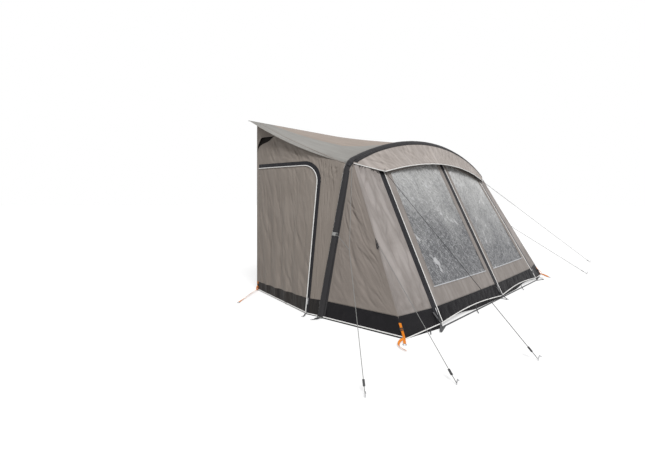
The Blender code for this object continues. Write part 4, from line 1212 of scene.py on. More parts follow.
def joined(name: str, pieces: Sequence[bpy.types.Object]) -> bpy.types.Object:
    """Join several pieces into one mesh, with their modifiers applied and each one's finish kept.

    Args:
        name: the new piece's name.
        pieces: the pieces, which are removed.

    Returns:
        The joined piece.
    """
    bm = bmesh.new()
    finishes: list[bpy.types.Material] = []
    graph = bpy.context.evaluated_depsgraph_get()
    for piece in pieces:
        mesh = bpy.data.meshes.new_from_object(piece.evaluated_get(graph))
        mesh.transform(piece.matrix_world)
        start = len(bm.faces)
        bm.from_mesh(mesh)
        bm.faces.ensure_lookup_table()
        for face in bm.faces[start:]:
            finish = mesh.materials[face.material_index]
            if finish not in finishes:
                finishes.append(finish)
            face.material_index = finishes.index(finish)
        bpy.data.meshes.remove(mesh)
        bpy.data.objects.remove(piece)
    mesh = bpy.data.meshes.new(name)
    bm.to_mesh(mesh)
    bm.free()
    for finish in finishes[:-1]:
        mesh.materials.append(finish)
    return new_piece(name, mesh, finishes[-1])


# What repeats along a path is made by node trees


class NodeTree:
    """A geometry node tree with named inputs, which runs on a path and is turned into a plain mesh."""

    def __init__(self, name: str, **inputs: str) -> None:
        """Start a tree.

        Args:
            name: the tree's name.
            inputs: the socket type of each input, by its name with _ for a space.
        """
        self.tree = bpy.data.node_groups.new(name, "GeometryNodeTree")
        face = self.tree.interface
        face.new_socket("Geometry", in_out="INPUT", socket_type="NodeSocketGeometry")
        face.new_socket("Geometry", in_out="OUTPUT", socket_type="NodeSocketGeometry")
        self.sockets = {}
        for key, kind in inputs.items():
            made = face.new_socket(key.replace("_", " "), in_out="INPUT", socket_type="NodeSocket" + kind)
            self.sockets[key] = made.identifier
        self.source = self.tree.nodes.new("NodeGroupInput")
        self.end = self.tree.nodes.new("NodeGroupOutput")

    def add(self, kind: str, settings: dict | None = None, links: dict | None = None) -> bpy.types.Node:
        """Add a node.

        Args:
            kind: the node's type.
            settings: its properties, set first.
            links: sockets or values by input name or index.

        Returns:
            The node.
        """
        node = self.tree.nodes.new(kind)
        for name, value in (settings or {}).items():
            setattr(node, name, value)
        for name, value in (links or {}).items():
            if isinstance(value, bpy.types.NodeSocket):
                self.tree.links.new(value, node.inputs[name])
            else:
                node.inputs[name].default_value = value
        return node

    def given(self, name: str) -> bpy.types.NodeSocket:
        """Return the group's own input of this name."""
        return self.source.outputs[name]

    def close(self, geometry: bpy.types.NodeSocket) -> None:
        """End the tree in real geometry with its material."""
        real = self.add("GeometryNodeRealizeInstances", links={0: geometry})
        dressed = self.add("GeometryNodeSetMaterial", links={0: real.outputs[0], 2: self.given("Finish")})
        self.tree.links.new(dressed.outputs[0], self.end.inputs[0])

    def run(self, name: str, paths: Sequence[Sequence[Vector]], finish: bpy.types.Material,
            **values: float) -> bpy.types.Object:
        """Run the tree on paths and keep the result as a plain mesh.

        Args:
            name: the new piece's name.
            paths: chains of points.
            finish: the piece's material.
            values: the tree's other inputs.

        Returns:
            The new piece.
        """
        mesh = bpy.data.meshes.new(name)
        points, edges = [], []
        for path in paths:
            edges += [(len(points) + k, len(points) + k + 1) for k in range(len(path) - 1)]
            points += [tuple(p) for p in path]
        mesh.from_pydata(points, edges, [])
        guide = linked(name + "_guide", mesh)
        modifier = guide.modifiers.new("tree", "NODES")
        modifier.node_group = self.tree
        modifier[self.sockets["Finish"]] = finish
        for key, value in values.items():
            modifier[self.sockets[key]] = value
        made = bpy.data.meshes.new_from_object(guide.evaluated_get(bpy.context.evaluated_depsgraph_get()))
        made.name = name
        bpy.data.objects.remove(guide)
        if not made.materials:
            made.materials.append(finish)
        made.shade_smooth()
        return linked(name, made)


class Piping(NodeTree):
    """Round piping sewn into a seam: a tube along each path, with its own coordinates in metres."""

    def __init__(self) -> None:
        """Build the tree."""
        super().__init__("piping", Radius="Float", Sides="Int", Finish="Material")
        path = self.add("GeometryNodeMeshToCurve", links={0: self.given("Geometry")})
        reach = self.add("GeometryNodeSplineParameter")
        marked = self.add("GeometryNodeStoreNamedAttribute", {"data_type": "FLOAT", "domain": "POINT"},
                          {0: path.outputs[0], "Name": "reach", "Value": reach.outputs["Length"]})
        ring = self.add("GeometryNodeCurvePrimitiveCircle", {},
                        {"Resolution": self.given("Sides"), "Radius": self.given("Radius")})
        turned = self.add("GeometryNodeStoreNamedAttribute", {"data_type": "FLOAT", "domain": "POINT"},
                          {0: ring.outputs[0], "Name": "turn", "Value": reach.outputs["Length"]})
        skin = self.add("GeometryNodeCurveToMesh", {},
                        {"Curve": marked.outputs[0], "Profile Curve": turned.outputs[0], "Fill Caps": True})
        along = self.add("GeometryNodeInputNamedAttribute", {"data_type": "FLOAT"}, {"Name": "reach"})
        around = self.add("GeometryNodeInputNamedAttribute", {"data_type": "FLOAT"}, {"Name": "turn"})
        spot = self.add("ShaderNodeCombineXYZ", {}, {0: around.outputs[0], 1: along.outputs[0]})
        mapped = self.add("GeometryNodeStoreNamedAttribute", {"data_type": "FLOAT2", "domain": "CORNER"},
                          {0: skin.outputs[0], "Name": "UVMap", "Value": spot.outputs[0]})
        self.close(mapped.outputs[0])


class Stitching(NodeTree):
    """A row of stitches along each path."""

    def __init__(self) -> None:
        """Build the tree."""
        super().__init__("stitching", Pitch="Float", Length="Float", Width="Float", Seed="Int",
                         Finish="Material")
        path = self.add("GeometryNodeMeshToCurve", links={0: self.given("Geometry")})
        spots = self.add("GeometryNodeCurveToPoints", {"mode": "LENGTH"},
                         {0: path.outputs[0], "Length": self.given("Pitch")})
        bead = self.add("GeometryNodeMeshIcoSphere", {}, {"Radius": 0.5, "Subdivisions": 1})
        size = self.add("ShaderNodeCombineXYZ", {}, {0: self.given("Width"), 1: self.given("Width"),
                                                     2: self.given("Length")})
        vary = self.add("FunctionNodeRandomValue", {"data_type": "FLOAT"},
                        {2: 0.9, 3: 1.1, "Seed": self.given("Seed")})
        scaled = self.add("ShaderNodeVectorMath", {"operation": "SCALE"},
                          {0: size.outputs[0], "Scale": vary.outputs[1]})
        placed = self.add("GeometryNodeInstanceOnPoints", {},
                          {"Points": spots.outputs["Points"], "Instance": bead.outputs["Mesh"],
                           "Rotation": spots.outputs["Rotation"], "Scale": scaled.outputs[0]})
        self.close(placed.outputs[0])


# Folds


@dataclass(frozen=True)
class Folds:
    """Soft creases in a cloth panel, in its own coordinates, straight or fanning out from a focus."""

    depth: float
    pitch: float
    angle: float = 0.0
    seed: float = 0.0
    focus: Pair | None = None
    reach: float = 0.8
    crisp: float = 0.5
    run: float = 6.0

    def __call__(self, point: Vector, u: float, v: float) -> float:
        """Return how far the cloth stands out here.

        Args:
            point: the place.
            u: its first coordinate.
            v: its second.

        Returns:
            The height in metres.
        """
        fade = 1.0
        if self.focus:
            du, dv = u - self.focus[0], v - self.focus[1]
            away = math.hypot(du, dv)
            across, along = math.atan2(dv, du) * 0.55, away
            fade = smooth(0.0, 0.12, away) * math.exp(-away / self.reach)
        else:
            turn = math.radians(self.angle)
            along = u * math.cos(turn) + v * math.sin(turn)
            across = v * math.cos(turn) - u * math.sin(turn)
        drift = ripple(along / (self.pitch * 4), across / (self.pitch * 3), self.seed)
        wave = ripple(across / self.pitch + drift * 0.9, along / (self.pitch * self.run), self.seed + 3.7)
        ridge = 1.2 - abs(wave) * 4.8
        return self.depth * fade * (wave * 4.8 * (1 - self.crisp) + ridge * self.crisp)


def layers(*folds: Relief) -> Relief:
    """Return several sets of folds together, as one relief."""
    return lambda point, u, v: sum(fold(point, u, v) for fold in folds)


# The object's pieces


@dataclass
class Workshop:
    """What every sub-assembly needs: the lines, the finishes and the trees, and a way to attach pieces to
    their bodies.
    """

    pitch: float = 0.0085
    stitch: float = 0.0062
    thread: float = 0.0013

    def __post_init__(self) -> None:
        """Set up the lines, the finishes and the trees."""
        self.arch = Arch()
        self.lines = Lines(self.arch)
        self.finish = Finishes()
        self.piping = Piping()
        self.stitching = Stitching()

    def keep(self, piece: bpy.types.Object, slot: str, *nodes: str, body: str = "awning") -> bpy.types.Object:
        """Attach a finished piece to its body and hide the CAD nodes that it stands for.

        Args:
            piece: the piece.
            slot: not used.
            nodes: the CAD nodes that it stands for.
            body: the body that it rides on.

        Returns:
            The same piece.
        """
        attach(piece, body)
        if nodes:
            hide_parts(*nodes)
        LOG.info("%s: %d faces on %s", piece.name, len(piece.data.polygons), body)
        return piece

    def sheet(self, cut: Cut, slot: str, *nodes: str, body: str = "awning", held: str = "stretched",
              rests_on: Sequence[str] = ("beam_sleeve",), flat: Pair | None = None) -> None:
        """Cut a cloth panel, attach it to its body and hide the CAD nodes that it stands for.

        Args:
            cut: the panel.
            slot: not used.
            nodes: the CAD nodes that it stands for.
            body: the body that it rides on.
            held: not used.
            rests_on: not used.
            flat: not used.
        """
        piece = self.keep(cut.make(), slot, *nodes, body=body)

    def strip(self, cut: Cut, slot: str, width: float, rests_on: str, *nodes: str) -> None:
        """Cut a long strip of cloth, attach it and hide the CAD nodes that it stands for.

        Args:
            cut: the strip.
            slot: not used.
            width: its flat width.
            rests_on: not used.
            nodes: the CAD nodes that it stands for.
        """
        piece = self.keep(cut.make(), slot, *nodes)
        round(cut.area / width, 3)

    def pipe(self, name: str, paths: Sequence[Sequence[Vector]], radius: float = PIPING,
             finish: str = "piping", slot: str = "keder_vinyl", body: str = "awning") -> None:
        """Sew piping along paths and attach it to its body.

        Args:
            name: the piece's name.
            paths: the lines that it follows.
            radius: its radius.
            finish: its finish.
            slot: not used.
            body: the body that it rides on.
        """
        self.keep(self.piping.run(name, paths, self.finish[finish], Radius=radius, Sides=8), slot, body=body)

    def sew(self, name: str, paths: Sequence[Sequence[Vector]], slot: str, body: str = "awning",
            finish: str = "thread") -> None:
        """Stitch along paths and attach the stitches to their body.

        Args:
            name: the piece's name.
            paths: the lines that it follows.
            slot: not used.
            body: the body that it rides on.
            finish: the thread's finish.
        """
        made = self.stitching.run(name, paths, self.finish[finish], Pitch=self.pitch, Length=self.stitch,
                                  Width=self.thread, Seed=len(name))
        self.keep(made, slot, body=body)

    def dress(self, node: str, finish: str) -> None:
        """Give a CAD node that stays its finish.

        Args:
            node: its name.
            finish: the finish's name.
        """
        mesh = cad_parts[node].data
        mesh.materials.clear()
        mesh.materials.append(self.finish[finish])
        LOG.info("%s: dressed as %s", node, finish)


def offset_path(surface: Surface, spots: Sequence[Pair], outward: Vector, lift: float,
                side: Side = Side.LEFT) -> list[Vector]:
    """Return points of a surface, lifted off it towards outward.

    Args:
        surface: the surface.
        spots: places in its coordinates.
        outward: which way is out.
        lift: how far the line lies over it.
        side: the side that it is made for.

    Returns:
        The line's points.
    """
    made = []
    step = 1e-3
    for u, v in spots:
        here = surface(u, v)
        normal = (surface(u + step, v) - here).cross(surface(u, v + step) - here).normalized()
        normal = normal if normal.dot(outward) > 0 else -normal
        made.append(side.place(here + normal * lift))
    return made


@dataclass
class Beam:
    """The air beam's sleeve with its seams, bands and patches, and what shows of the valve."""

    shop: Workshop
    wrinkle: float = 0.0009
    welt: float = 0.0028
    band_height: float = 0.89
    band_width: float = 0.040
    band_buckle: Place = (0.026, 0.040, 0.0026)
    buckle_lift: float = 0.006
    patch_width: float = 0.055
    patch_lift: float = 0.0012
    loop_size: Pair = (0.009, 0.0022)
    loop_lift: float = 0.004
    foot_gap: float = 0.0055
    shoulder_x: float = 1.80
    shoulder_reach: float = 0.16

    def build(self) -> None:
        """Make every piece of the beam."""
        shop = self.shop
        spine = [section.centre for section in shop.arch.spine()]
        for end in (0, -1):
            spine[end] = spine[end] + UP * self.foot_gap
        sleeve = tube("beam_tube", resampled(spine, 0.011), self._radius, shop.finish["sleeve"], sides=40)
        shop.keep(sleeve, "sleeve_cloth", "beam_sleeve")
        shop.dress("beam_bladder", "bladder")
        for node in ("valve_body", "valve_cap"):
            shop.dress(node, "plastic")
        for word in ("left", "right"):
            shop.dress("beam_foot_" + word, "rubber")
        self._seams()
        self._bands()

    def _radius(self, reach: float, turn: float, here: Vector) -> float:
        """Return the sleeve's radius, with soft puckers that grow on the inside of the shoulders.

        Args:
            reach: the length from the left foot.
            turn: the angle round the tube.
            here: the place.

        Returns:
            The radius.
        """
        base = self.shop.arch.tube_radius - 0.0008
        away = (abs(here.x) - self.shoulder_x) / self.shoulder_reach
        shoulder = math.exp(-away ** 2) * smooth(1.5, 1.7, here.z)
        ring = ripple(here.x * 9, here.y * 9 + math.cos(turn) * 0.6, here.z * 9 + math.sin(turn) * 0.6)
        pucker = ripple(reach * 34, math.cos(turn) * 1.1, math.sin(turn) * 1.1)
        return base + ring * self.wrinkle * 1.1 + pucker * self.wrinkle * (0.35 + 2.6 * shoulder)

    def _seams(self) -> None:
        """Run a dark welt along both seams and a row of stitches beside each."""
        arch, shop = self.shop.arch, self.shop
        front, rear, stitched = (
            [section.rim(math.radians(turn), arch.tube_radius + lift) for section in arch.spine(40)[1:-1]]
            for turn, lift in ((24, 0.0006), (158, 0.0006), (30, 0.0004)))
        shop.pipe("beam_welt", [front, rear], self.welt, "sleeve_edge", "sleeve_cloth")
        shop.sew("beam_stitches", [stitched], "sleeve_cloth", finish="pale_thread")

    def _bands(self) -> None:
        """Put a webbing band with a small buckle round each leg, and a patch at each shoulder."""
        arch, shop = self.shop.arch, self.shop
        radius, finish = arch.tube_radius, shop.finish
        parts = []
        for side in Side:
            leg = arch.on_leg(self.band_height / arch.leg_end.y, side.value)
            ring = [leg.rim(turn, radius + STRIP_CLOTH) for turn in even(0, 2 * math.pi, 48)]
            parts.append(band("band", ring, [leg.climb()] * len(ring), self.band_width, STRIP_CLOTH,
                              finish["pale_grey"]))
            face = leg.rim(math.radians(35), radius + self.buckle_lift)
            out = (face - leg.centre).normalized()
            parts += buckle(face, leg.climb(), out, *self.band_buckle, finish["grey"])
            top = arch.on_shoulder(math.radians(30), side.value)
            patch = [top.rim(math.radians(turn), radius + self.patch_lift) for turn in even(-20, 70, 12)]
            parts.append(band("patch", patch, [top.climb()] * len(patch), self.patch_width, STRIP_CLOTH,
                              finish["tape"]))
            hook = top.rim(math.radians(5), radius + self.loop_lift)
            parts.append(ring_of("loop", hook, top.normal, *self.loop_size, finish["plastic"]))
        shop.keep(joined("beam_bands", parts), "webbing_grey")


def ring_of(name: str, centre: Vector, axis: Vector, radius: float, wire: float,
            finish: bpy.types.Material) -> bpy.types.Object:
    """Make a round ring of wire.

    Args:
        name: the piece's name.
        centre: its middle.
        axis: its axis.
        radius: its radius.
        wire: the wire's radius.
        finish: its material.

    Returns:
        The new piece.
    """
    across = axis.orthogonal().normalized()
    other = axis.cross(across).normalized()
    path = [centre + (across * math.cos(a) + other * math.sin(a)) * radius
            for a in even(0, 2 * math.pi, 28)[:-1]]
    return hoop(name, path, wire, finish)


def hoop(name: str, path: Sequence[Vector], wire: float, finish: bpy.types.Material,
         sides: int = 8) -> bpy.types.Object:
    """Make a closed loop of round wire along points in one plane.

    Args:
        name: the piece's name.
        path: the points.
        wire: the wire's radius.
        finish: its material.
        sides: how many sides the wire has.

    Returns:
        The new piece.
    """
    count = len(path)
    middle = sum(path, Vector()) / count
    plane = (path[0] - middle).cross(path[count // 4] - middle).normalized()
    rings = []
    for k, here in enumerate(path):
        along = (path[(k + 1) % count] - path[k - 1]).normalized()
        out = along.cross(plane).normalized()
        rings.append([here + (out * math.cos(a) + plane * math.sin(a)) * wire
                      for a in even(0, 2 * math.pi, sides)[:-1]])
    return rows_piece(name, rings, finish, ringed=True, looped=True)


def buckle(centre: Vector, rise: Vector, out: Vector, height: float, width: float, bar: float,
           finish: bpy.types.Material) -> list[bpy.types.Object]:
    """Make a ladder lock: a rounded frame with two bars across it.

    Args:
        centre: its middle.
        rise: the direction of its height, along the strap.
        out: the direction that it faces.
        height: its height.
        width: its width.
        bar: the radius of its bars.
        finish: its material.

    Returns:
        The frame and the bars.
    """
    across = rise.cross(out).normalized()
    corners = [(width * a / 2, height * b / 2) for a, b in ((-1, -1), (1, -1), (1, 1), (-1, 1))]
    flat = rounded(corners, [bar * 2] * 4, 5)
    parts = [hoop("frame", [centre + across * a + rise * b for a, b in flat], bar, finish)]
    for lift in (-0.12, 0.22):
        ends = [centre + rise * height * lift + across * width * s + out * bar * 0.4 for s in (-0.48, 0.48)]
        parts.append(tube("bar", [ends[0].lerp(ends[1], t) for t in even(0, 1, 4)], bar * 0.8, finish))
    return parts


@dataclass
class Roof:
    """The roof cloth, the strip in the caravan's rail and the brow over the windows."""

    shop: Workshop
    bead: float = 0.0035
    keder_tape: float = 0.0206
    tape_cloth: float = 0.0014
    edge: float = 0.0058
    binding: float = 0.0022
    tab_width: float = 0.020
    roof_size: Pair = (2.2, 1.42)
    brow_size: Pair = (1.9, 0.42)
    flange_width: float = 0.042
    whole: tuple[Pair, ...] = ((-1, 0), (1, 0), (1, 1), (-1, 1))

    def __post_init__(self) -> None:
        """Keep what every piece reads."""
        self.lines = self.shop.lines
        self.brow_out = Vector((0, -1, 1))

    def build(self) -> None:
        """Make every piece of the roof."""
        self._roof()
        self._keder()
        self._brow()
        self._seams()
        self._tips()

    def _roof(self) -> None:
        """Make the roof cloth, with creases that fan out from its rear corners."""
        wide, deep = self.roof_size
        relief = layers(Folds(0.005, 0.11, seed=2.0, focus=(-wide, deep), reach=0.9, run=5),
                        Folds(0.005, 0.11, seed=7.0, focus=(wide, deep), reach=0.9, run=5),
                        Folds(0.002, 0.30, angle=80, seed=11.0, crisp=0.2))
        roof = Cut("roof_skin", self.lines.roof, self.whole, UP, self.shop.finish["roof"],
                   stretch=self.roof_size, spacing=0.030, hem=0.10, relief=relief)
        self.shop.sheet(roof, "roof_cloth", "roof_panel", rests_on=["beam_sleeve", "keder_strip"])

    def _brow(self) -> None:
        """Make the brow, and the sleeve's flange that it is sewn to."""
        shop, brow, finish = self.shop, self.lines.brow, self.shop.finish
        relief = layers(Folds(0.007, 0.06, seed=4.0, focus=(-1.9, 0.36), reach=0.8),
                        Folds(0.007, 0.06, seed=5.0, focus=(1.9, 0.36), reach=0.8),
                        Folds(0.0060, 0.065, angle=62, seed=9.0, run=4, crisp=0.45))
        cut = Cut("brow_skin", brow, self.whole, self.brow_out, finish["brow"], stretch=self.brow_size,
                  spacing=0.018, hem=0.05, rest=0.052, relief=relief)
        shop.sheet(cut, "brow_cloth", "brow_panel")
        outline = [(-0.99, 0), (0.99, 0), (0.99, 0.10), (-0.99, 0.10)]
        flange = Cut("brow_flange", brow, outline, self.brow_out, finish["sleeve"], stretch=self.brow_size,
                     spacing=0.014, hem=0.02, lift=0.0034, thickness=STRIP_CLOTH,
                     relief=Folds(0.0012, 0.05, angle=80, seed=3.0))
        shop.strip(flange, "sleeve_cloth", self.flange_width, "brow_panel")

    def _seams(self) -> None:
        """Pipe the brow's edges and the roof's, and stitch both."""
        shop, roof, brow = self.shop, self.lines.roof, self.lines.brow
        edge = [self.lines.brow_edge(k / 80) + Vector((0, -0.002, 0.0018 * ripple(k / 6, 3.0)))
                for k in range(-80, 81)]
        cheeks = [[brow(side, down) + Vector((side * 0.003, -0.002, 0.003)) for down in even(0.03, 1, 20)]
                  for side in (-1, 1)]
        shop.pipe("brow_piping", [edge, *cheeks], self.edge)
        rows = [offset_path(brow, [(k / 60, down) for k in range(-59, 60)], self.brow_out, STITCH_LIFT)
                for down in (0.055, 0.93)]
        shop.sew("brow_stitches", rows, "brow_cloth")
        eaves = [offset_path(roof, [(side * 0.998, k / 41) for k in range(41)], UP, 0.0008)
                 for side in (-1, 1)]
        shop.pipe("roof_edges", eaves, self.binding, "roof_edge", "roof_cloth")
        rows = [offset_path(roof, [(k / 70, depth) for k in range(-69, 70)], UP, STITCH_LIFT)
                for depth in (0.012, 0.975)]
        rows += [offset_path(roof, [(side * 0.985, k / 40) for k in range(1, 40)], UP, STITCH_LIFT)
                 for side in (-1, 1)]
        shop.sew("roof_stitches", rows, "roof_cloth")

    def _keder(self) -> None:
        """Make the beaded strip with its tape."""
        shop, lines = self.shop, self.lines
        ends = [Vector((x * lines.rail_half, lines.rear_y - self.bead, lines.rail_height)) for x in (-1, 1)]
        path = resampled(ends, 0.05)
        bead = tube("bead", path, self.bead, shop.finish["vinyl"], sides=12)
        back = Vector((0, self.keder_tape / 2 + self.bead * 0.6, 0))
        tape = band("tape", [p - back for p in path], [Vector((0, 1, 0))] * len(path), self.keder_tape,
                    self.tape_cloth, shop.finish["vinyl"])
        shop.keep(joined("keder_bead_and_tape", [bead, tape]), "keder_vinyl", "keder_strip")

    def _tips(self) -> None:
        """Sew a tab at each tip of the brow, where its guy line starts."""
        shop, lines = self.shop, self.lines
        parts = []
        for side in Side:
            tip = lines.brow_edge(side.value)
            inward = (lines.brow(side.value * 0.96, 0.9) - tip).normalized()
            pull = Vector((side.value * 0.3, -0.8, -0.6)).normalized()
            across = inward.cross(pull).normalized()
            path = [tip + inward * 0.050 + Vector((0, -0.002, 0.002)), tip + inward * 0.02 + pull * 0.002,
                    tip + pull * 0.010, tip + pull * 0.014 - UP * 0.003]
            parts.append(band("tab", path, [across] * 4, self.tab_width, STRIP_CLOTH, shop.finish["grey"]))
        shop.keep(joined("brow_tabs", parts), "webbing_grey")


@dataclass
class Wall:
    """A wall of the awning, with short ways to make the panels, piping and stitches on its surfaces."""

    shop: Workshop

    def __post_init__(self) -> None:
        """Keep what every wall reads."""
        self.lines = self.shop.lines
        self.out = Vector((-1, 0, 0))

    def cut(self, name: str, side: Side, surface: Surface, outline: Sequence[Pair], finish: str, size: Pair,
            **how: object) -> Cut:
        """Return a panel on a side of the wall, with its name ending in the side's word.

        Args:
            name: the piece's name without the side's word.
            side: the side.
            surface: its surface.
            outline: its outline in the surface's coordinates.
            finish: the finish's name.
            size: the scale of the coordinates.
            how: the cut's other values.

        Returns:
            The panel, not yet made.
        """
        return Cut(f"{name}_{side.word}", surface, outline, self.out, self.shop.finish[finish], side, size,
                   **how)

    def over(self, surface: Surface, side: Side, spots: Sequence[Pair],
             lift: float = STITCH_LIFT) -> list[Vector]:
        """Return points that lie over a side of the wall."""
        return offset_path(surface, spots, self.out, lift, side)


@dataclass
class Front(Wall):
    """The sloping front: corner panels, windows, zip strips and what meets the ground."""

    skirt: float = 0.18
    sill: float = 0.355
    inner_margin: float = 0.130
    outer_margin: float = 0.140
    corner_radius: float = 0.022
    strip_width: float = 0.080
    strip_foot: float = 0.045
    strip_gap: float = 0.055
    strip_lift: float = 0.0024
    lift_at_strip: float = 0.035
    lift_between: float = 0.070
    flap_height: float = 0.125
    flap_setback: float = 0.045
    flap_rise: float = 0.030
    strip_piping: float = 0.0052
    skirt_seam: float = 0.0020
    return_width: float = 0.024
    line_half: float = 1.5
    line_width: float = 0.022
    line_gap: float = 0.0125
    web: float = 0.0018
    web_rest: float = 0.0012
    tongue_width: float = 0.025
    tongue_lift: float = 0.0085
    tongue_buckle: Place = (0.020, 0.032, 0.0022)
    tongue_ring: Pair = (0.011, 0.0022)
    tab_width: float = 0.018
    tongues: tuple[tuple[float, ...], ...] = ((-1, -1.683, 0.135), (0, 0.0, 0.161), (1, 1.683, 0.135))
    tabs: tuple[tuple[float, ...], ...] = ((-0.372, 0.072, -0.841, 0.150), (0.405, 0.072, 0.700, 0.150),
                                           (-0.853, 0.022, -1.817, 0.105), (0.853, 0.022, 1.817, 0.105))

    def __post_init__(self) -> None:
        """Work out the scale of the front's own coordinates."""
        super().__post_init__()
        self.stretch = (self.shop.arch.half_span, 1.11)
        self.out = Vector((0, -1, 0.45))
        self.strip = self.shop.arch.strip_share

    def build(self) -> None:
        """Make every piece of the front."""
        for side in Side:
            self._corner(side)
            self._window(side)
        for place, word in ((-1, "left"), (0, "centre"), (1, "right")):
            self._strip(place, word)
            self.shop.dress("front_zip_slider_" + word, "metal")
        self._skirt()
        self._flap()
        self._hem_returns()
        self._webbing()

    def head(self, start: float, end: float) -> list[Pair]:
        """Return the line along the beam between two shares."""
        return [(share, self.lines.front_head(share).z) for share in even(start, end, 24)]

    def _corner(self, side: Side) -> None:
        """Make the panel beside the windows."""
        wide, seed = self.stretch[0], side.value * 7.0
        outline = [(-1, self.skirt), (-self.strip, self.skirt)] + self.head(-self.strip, -1)
        head = (-wide * 0.90, 1.98)
        relief = layers(Folds(0.013, 0.050, seed=seed, focus=head, reach=1.6, run=9, crisp=0.55),
                        Folds(0.009, 0.055, angle=82, seed=seed + 2, run=9, crisp=0.5),
                        Folds(0.003, 0.05, seed=seed + 5, focus=(-wide, 0.9), reach=0.25),
                        Folds(0.003, 0.04, seed=seed + 8, focus=(-wide, 0.1), reach=0.4))
        cut = self.cut("corner_skin", side, self.lines.front, outline, "corner", self.stretch, spacing=0.014,
                       relief=relief, hem=0.05, rest=0.038)
        self.shop.sheet(cut, "wall_cloth", "corner_panel_" + side.word)

    def pane(self) -> list[Pair]:
        """Return the left window's outline."""
        lines, cover = self.lines, 0.08
        outer_head = lines.front(-self.strip, lines.tip_height + cover)
        points = [(-self.inner_margin, self.sill),
                  (lines.front(-self.strip, self.sill).x + self.outer_margin, self.sill),
                  (outer_head.x + self.outer_margin, outer_head.z - cover),
                  (-self.inner_margin, lines.brow_height + cover / 2)]
        flat = rounded(points, [self.corner_radius] * 4)
        return [(lines.front_share(x, z), z) for x, z in finer(flat, 0.05)]

    def _window(self, side: Side) -> None:
        """Make a window panel, its film and the welt round it."""
        shop, lines, word = self.shop, self.lines, side.word
        pane, seed = self.pane(), side.value * 5.0
        outline = [(-self.strip, self.skirt), (0, self.skirt)] + self.head(0, -self.strip)
        relief = layers(Folds(0.0028, 0.04, angle=68, seed=seed, run=4),
                        Folds(0.0012, 0.06, angle=10, seed=seed + 3))
        cut = self.cut("window_skin", side, lines.front, outline, "front", self.stretch, holes=[pane],
                       spacing=0.018, relief=relief, hem=0.04, rest=0.045)
        shop.sheet(cut, "wall_cloth", "window_panel_" + word)
        outer = (-self.strip * self.stretch[0], 1.95)
        waves = layers(Folds(0.0045, 0.16, angle=70, seed=seed + 1, run=4, crisp=0.55),
                       Folds(0.0035, 0.10, angle=118, seed=seed + 6, run=4, crisp=0.5),
                       Folds(0.0022, 0.045, angle=128, seed=seed + 9, run=5, crisp=0.6),
                       Folds(0.004, 0.06, seed=seed + 4, focus=outer, reach=0.6))
        film = self.cut("window_pane", side, lines.front, grown(pane, 0.010), "film", self.stretch,
                        spacing=0.012, relief=waves, hem=0.07, lift=-0.0020, thickness=0.0006)
        shop.sheet(film, "window_film", "window_film_" + word)
        edge = lines.front(-self.strip, self.sill).x + self.outer_margin
        ends = [lines.front_share(x, self.sill) for x in (edge - 0.012, 0.006 - self.inner_margin)]
        sill = self.over(lines.front, side, [(share, self.sill) for share in even(*ends, 40)], 0.0020)
        shop.pipe("window_welt_" + word, [sill], PIPING, "welt", "wall_cloth")
        loop = self.over(lines.front, side, pane + pane[:1], 0.0012)
        shop.pipe("window_binding_" + word, [loop], FINE_SEAM, "seam", "wall_cloth")
        border = grown(pane, 0.016)
        shop.sew("window_stitches_" + word, [self.over(lines.front, side, border + border[:1], 0.0015)],
                 "wall_cloth")

    def _strip(self, place: int, word: str) -> None:
        """Make the dark strip over one zip, with piping along one of its edges.

        Args:
            place: -1, 0 or 1 from the left.
            word: its name in a node's name.
        """
        shop, lines = self.shop, self.lines
        share, half = self.strip * place, self.strip_width / 2
        foot, top = self.strip_foot, lines.front_head(share).z - self.strip_gap

        def surface(u: float, v: float) -> Vector:
            """Return a point beside the zip, u metres away and v high."""
            here = lines.front(share, v)
            beside = lines.front(share + (0.02 if u > 0 else -0.02), v)
            return here + (beside - here).normalized() * abs(u)

        def run(reach: float, low: float, high: float, lift: float) -> list[Vector]:
            """Return a line along the strip at this share of its half width."""
            return self.over(surface, Side.LEFT, [(half * reach, z) for z in even(low, high, 60)], lift)

        outline = [(-half, foot), (half, foot), (half, top), (-half, top)]
        relief = layers(Folds(0.0005, 0.035, angle=20, seed=place * 3.0, run=2, crisp=0.4),
                        Folds(0.0004, 0.06, angle=85, seed=place + 4.0, run=4, crisp=0.3))
        cut = Cut("zip_strip_" + word, surface, outline, self.out, shop.finish["tape"],
                  stretch=(1.0, self.stretch[1]), spacing=0.0085, relief=relief, hem=0.012,
                  lift=self.strip_lift, thickness=STRIP_CLOTH)
        piece = shop.keep(cut.make(), "strip_tape", "zip_cover_" + word)
        round(cut.flat[1], 3)
        edge = run(0.99 if place < 1 else -0.99, foot + 0.005, top, self.strip_lift + STRIP_CLOTH)
        shop.pipe("zip_strip_piping_" + word, [edge], self.strip_piping)
        rows = [run(reach, foot + 0.015, top - 0.01, self.strip_lift + 0.0014) for reach in (-0.82, 0.82)]
        shop.sew("zip_strip_stitches_" + word, rows, "strip_tape", finish="sleeve_edge")

    def lift(self, share: float) -> float:
        """Return how high the skirt's hem stands."""
        spread = abs(share)
        if spread >= self.strip:
            return self.lift_at_strip * (1 - (spread - self.strip) / (1 - self.strip)) + CLEAR
        bulge = math.sin(math.pi * spread / self.strip)
        return self.lift_at_strip + (self.lift_between - self.lift_at_strip) * bulge

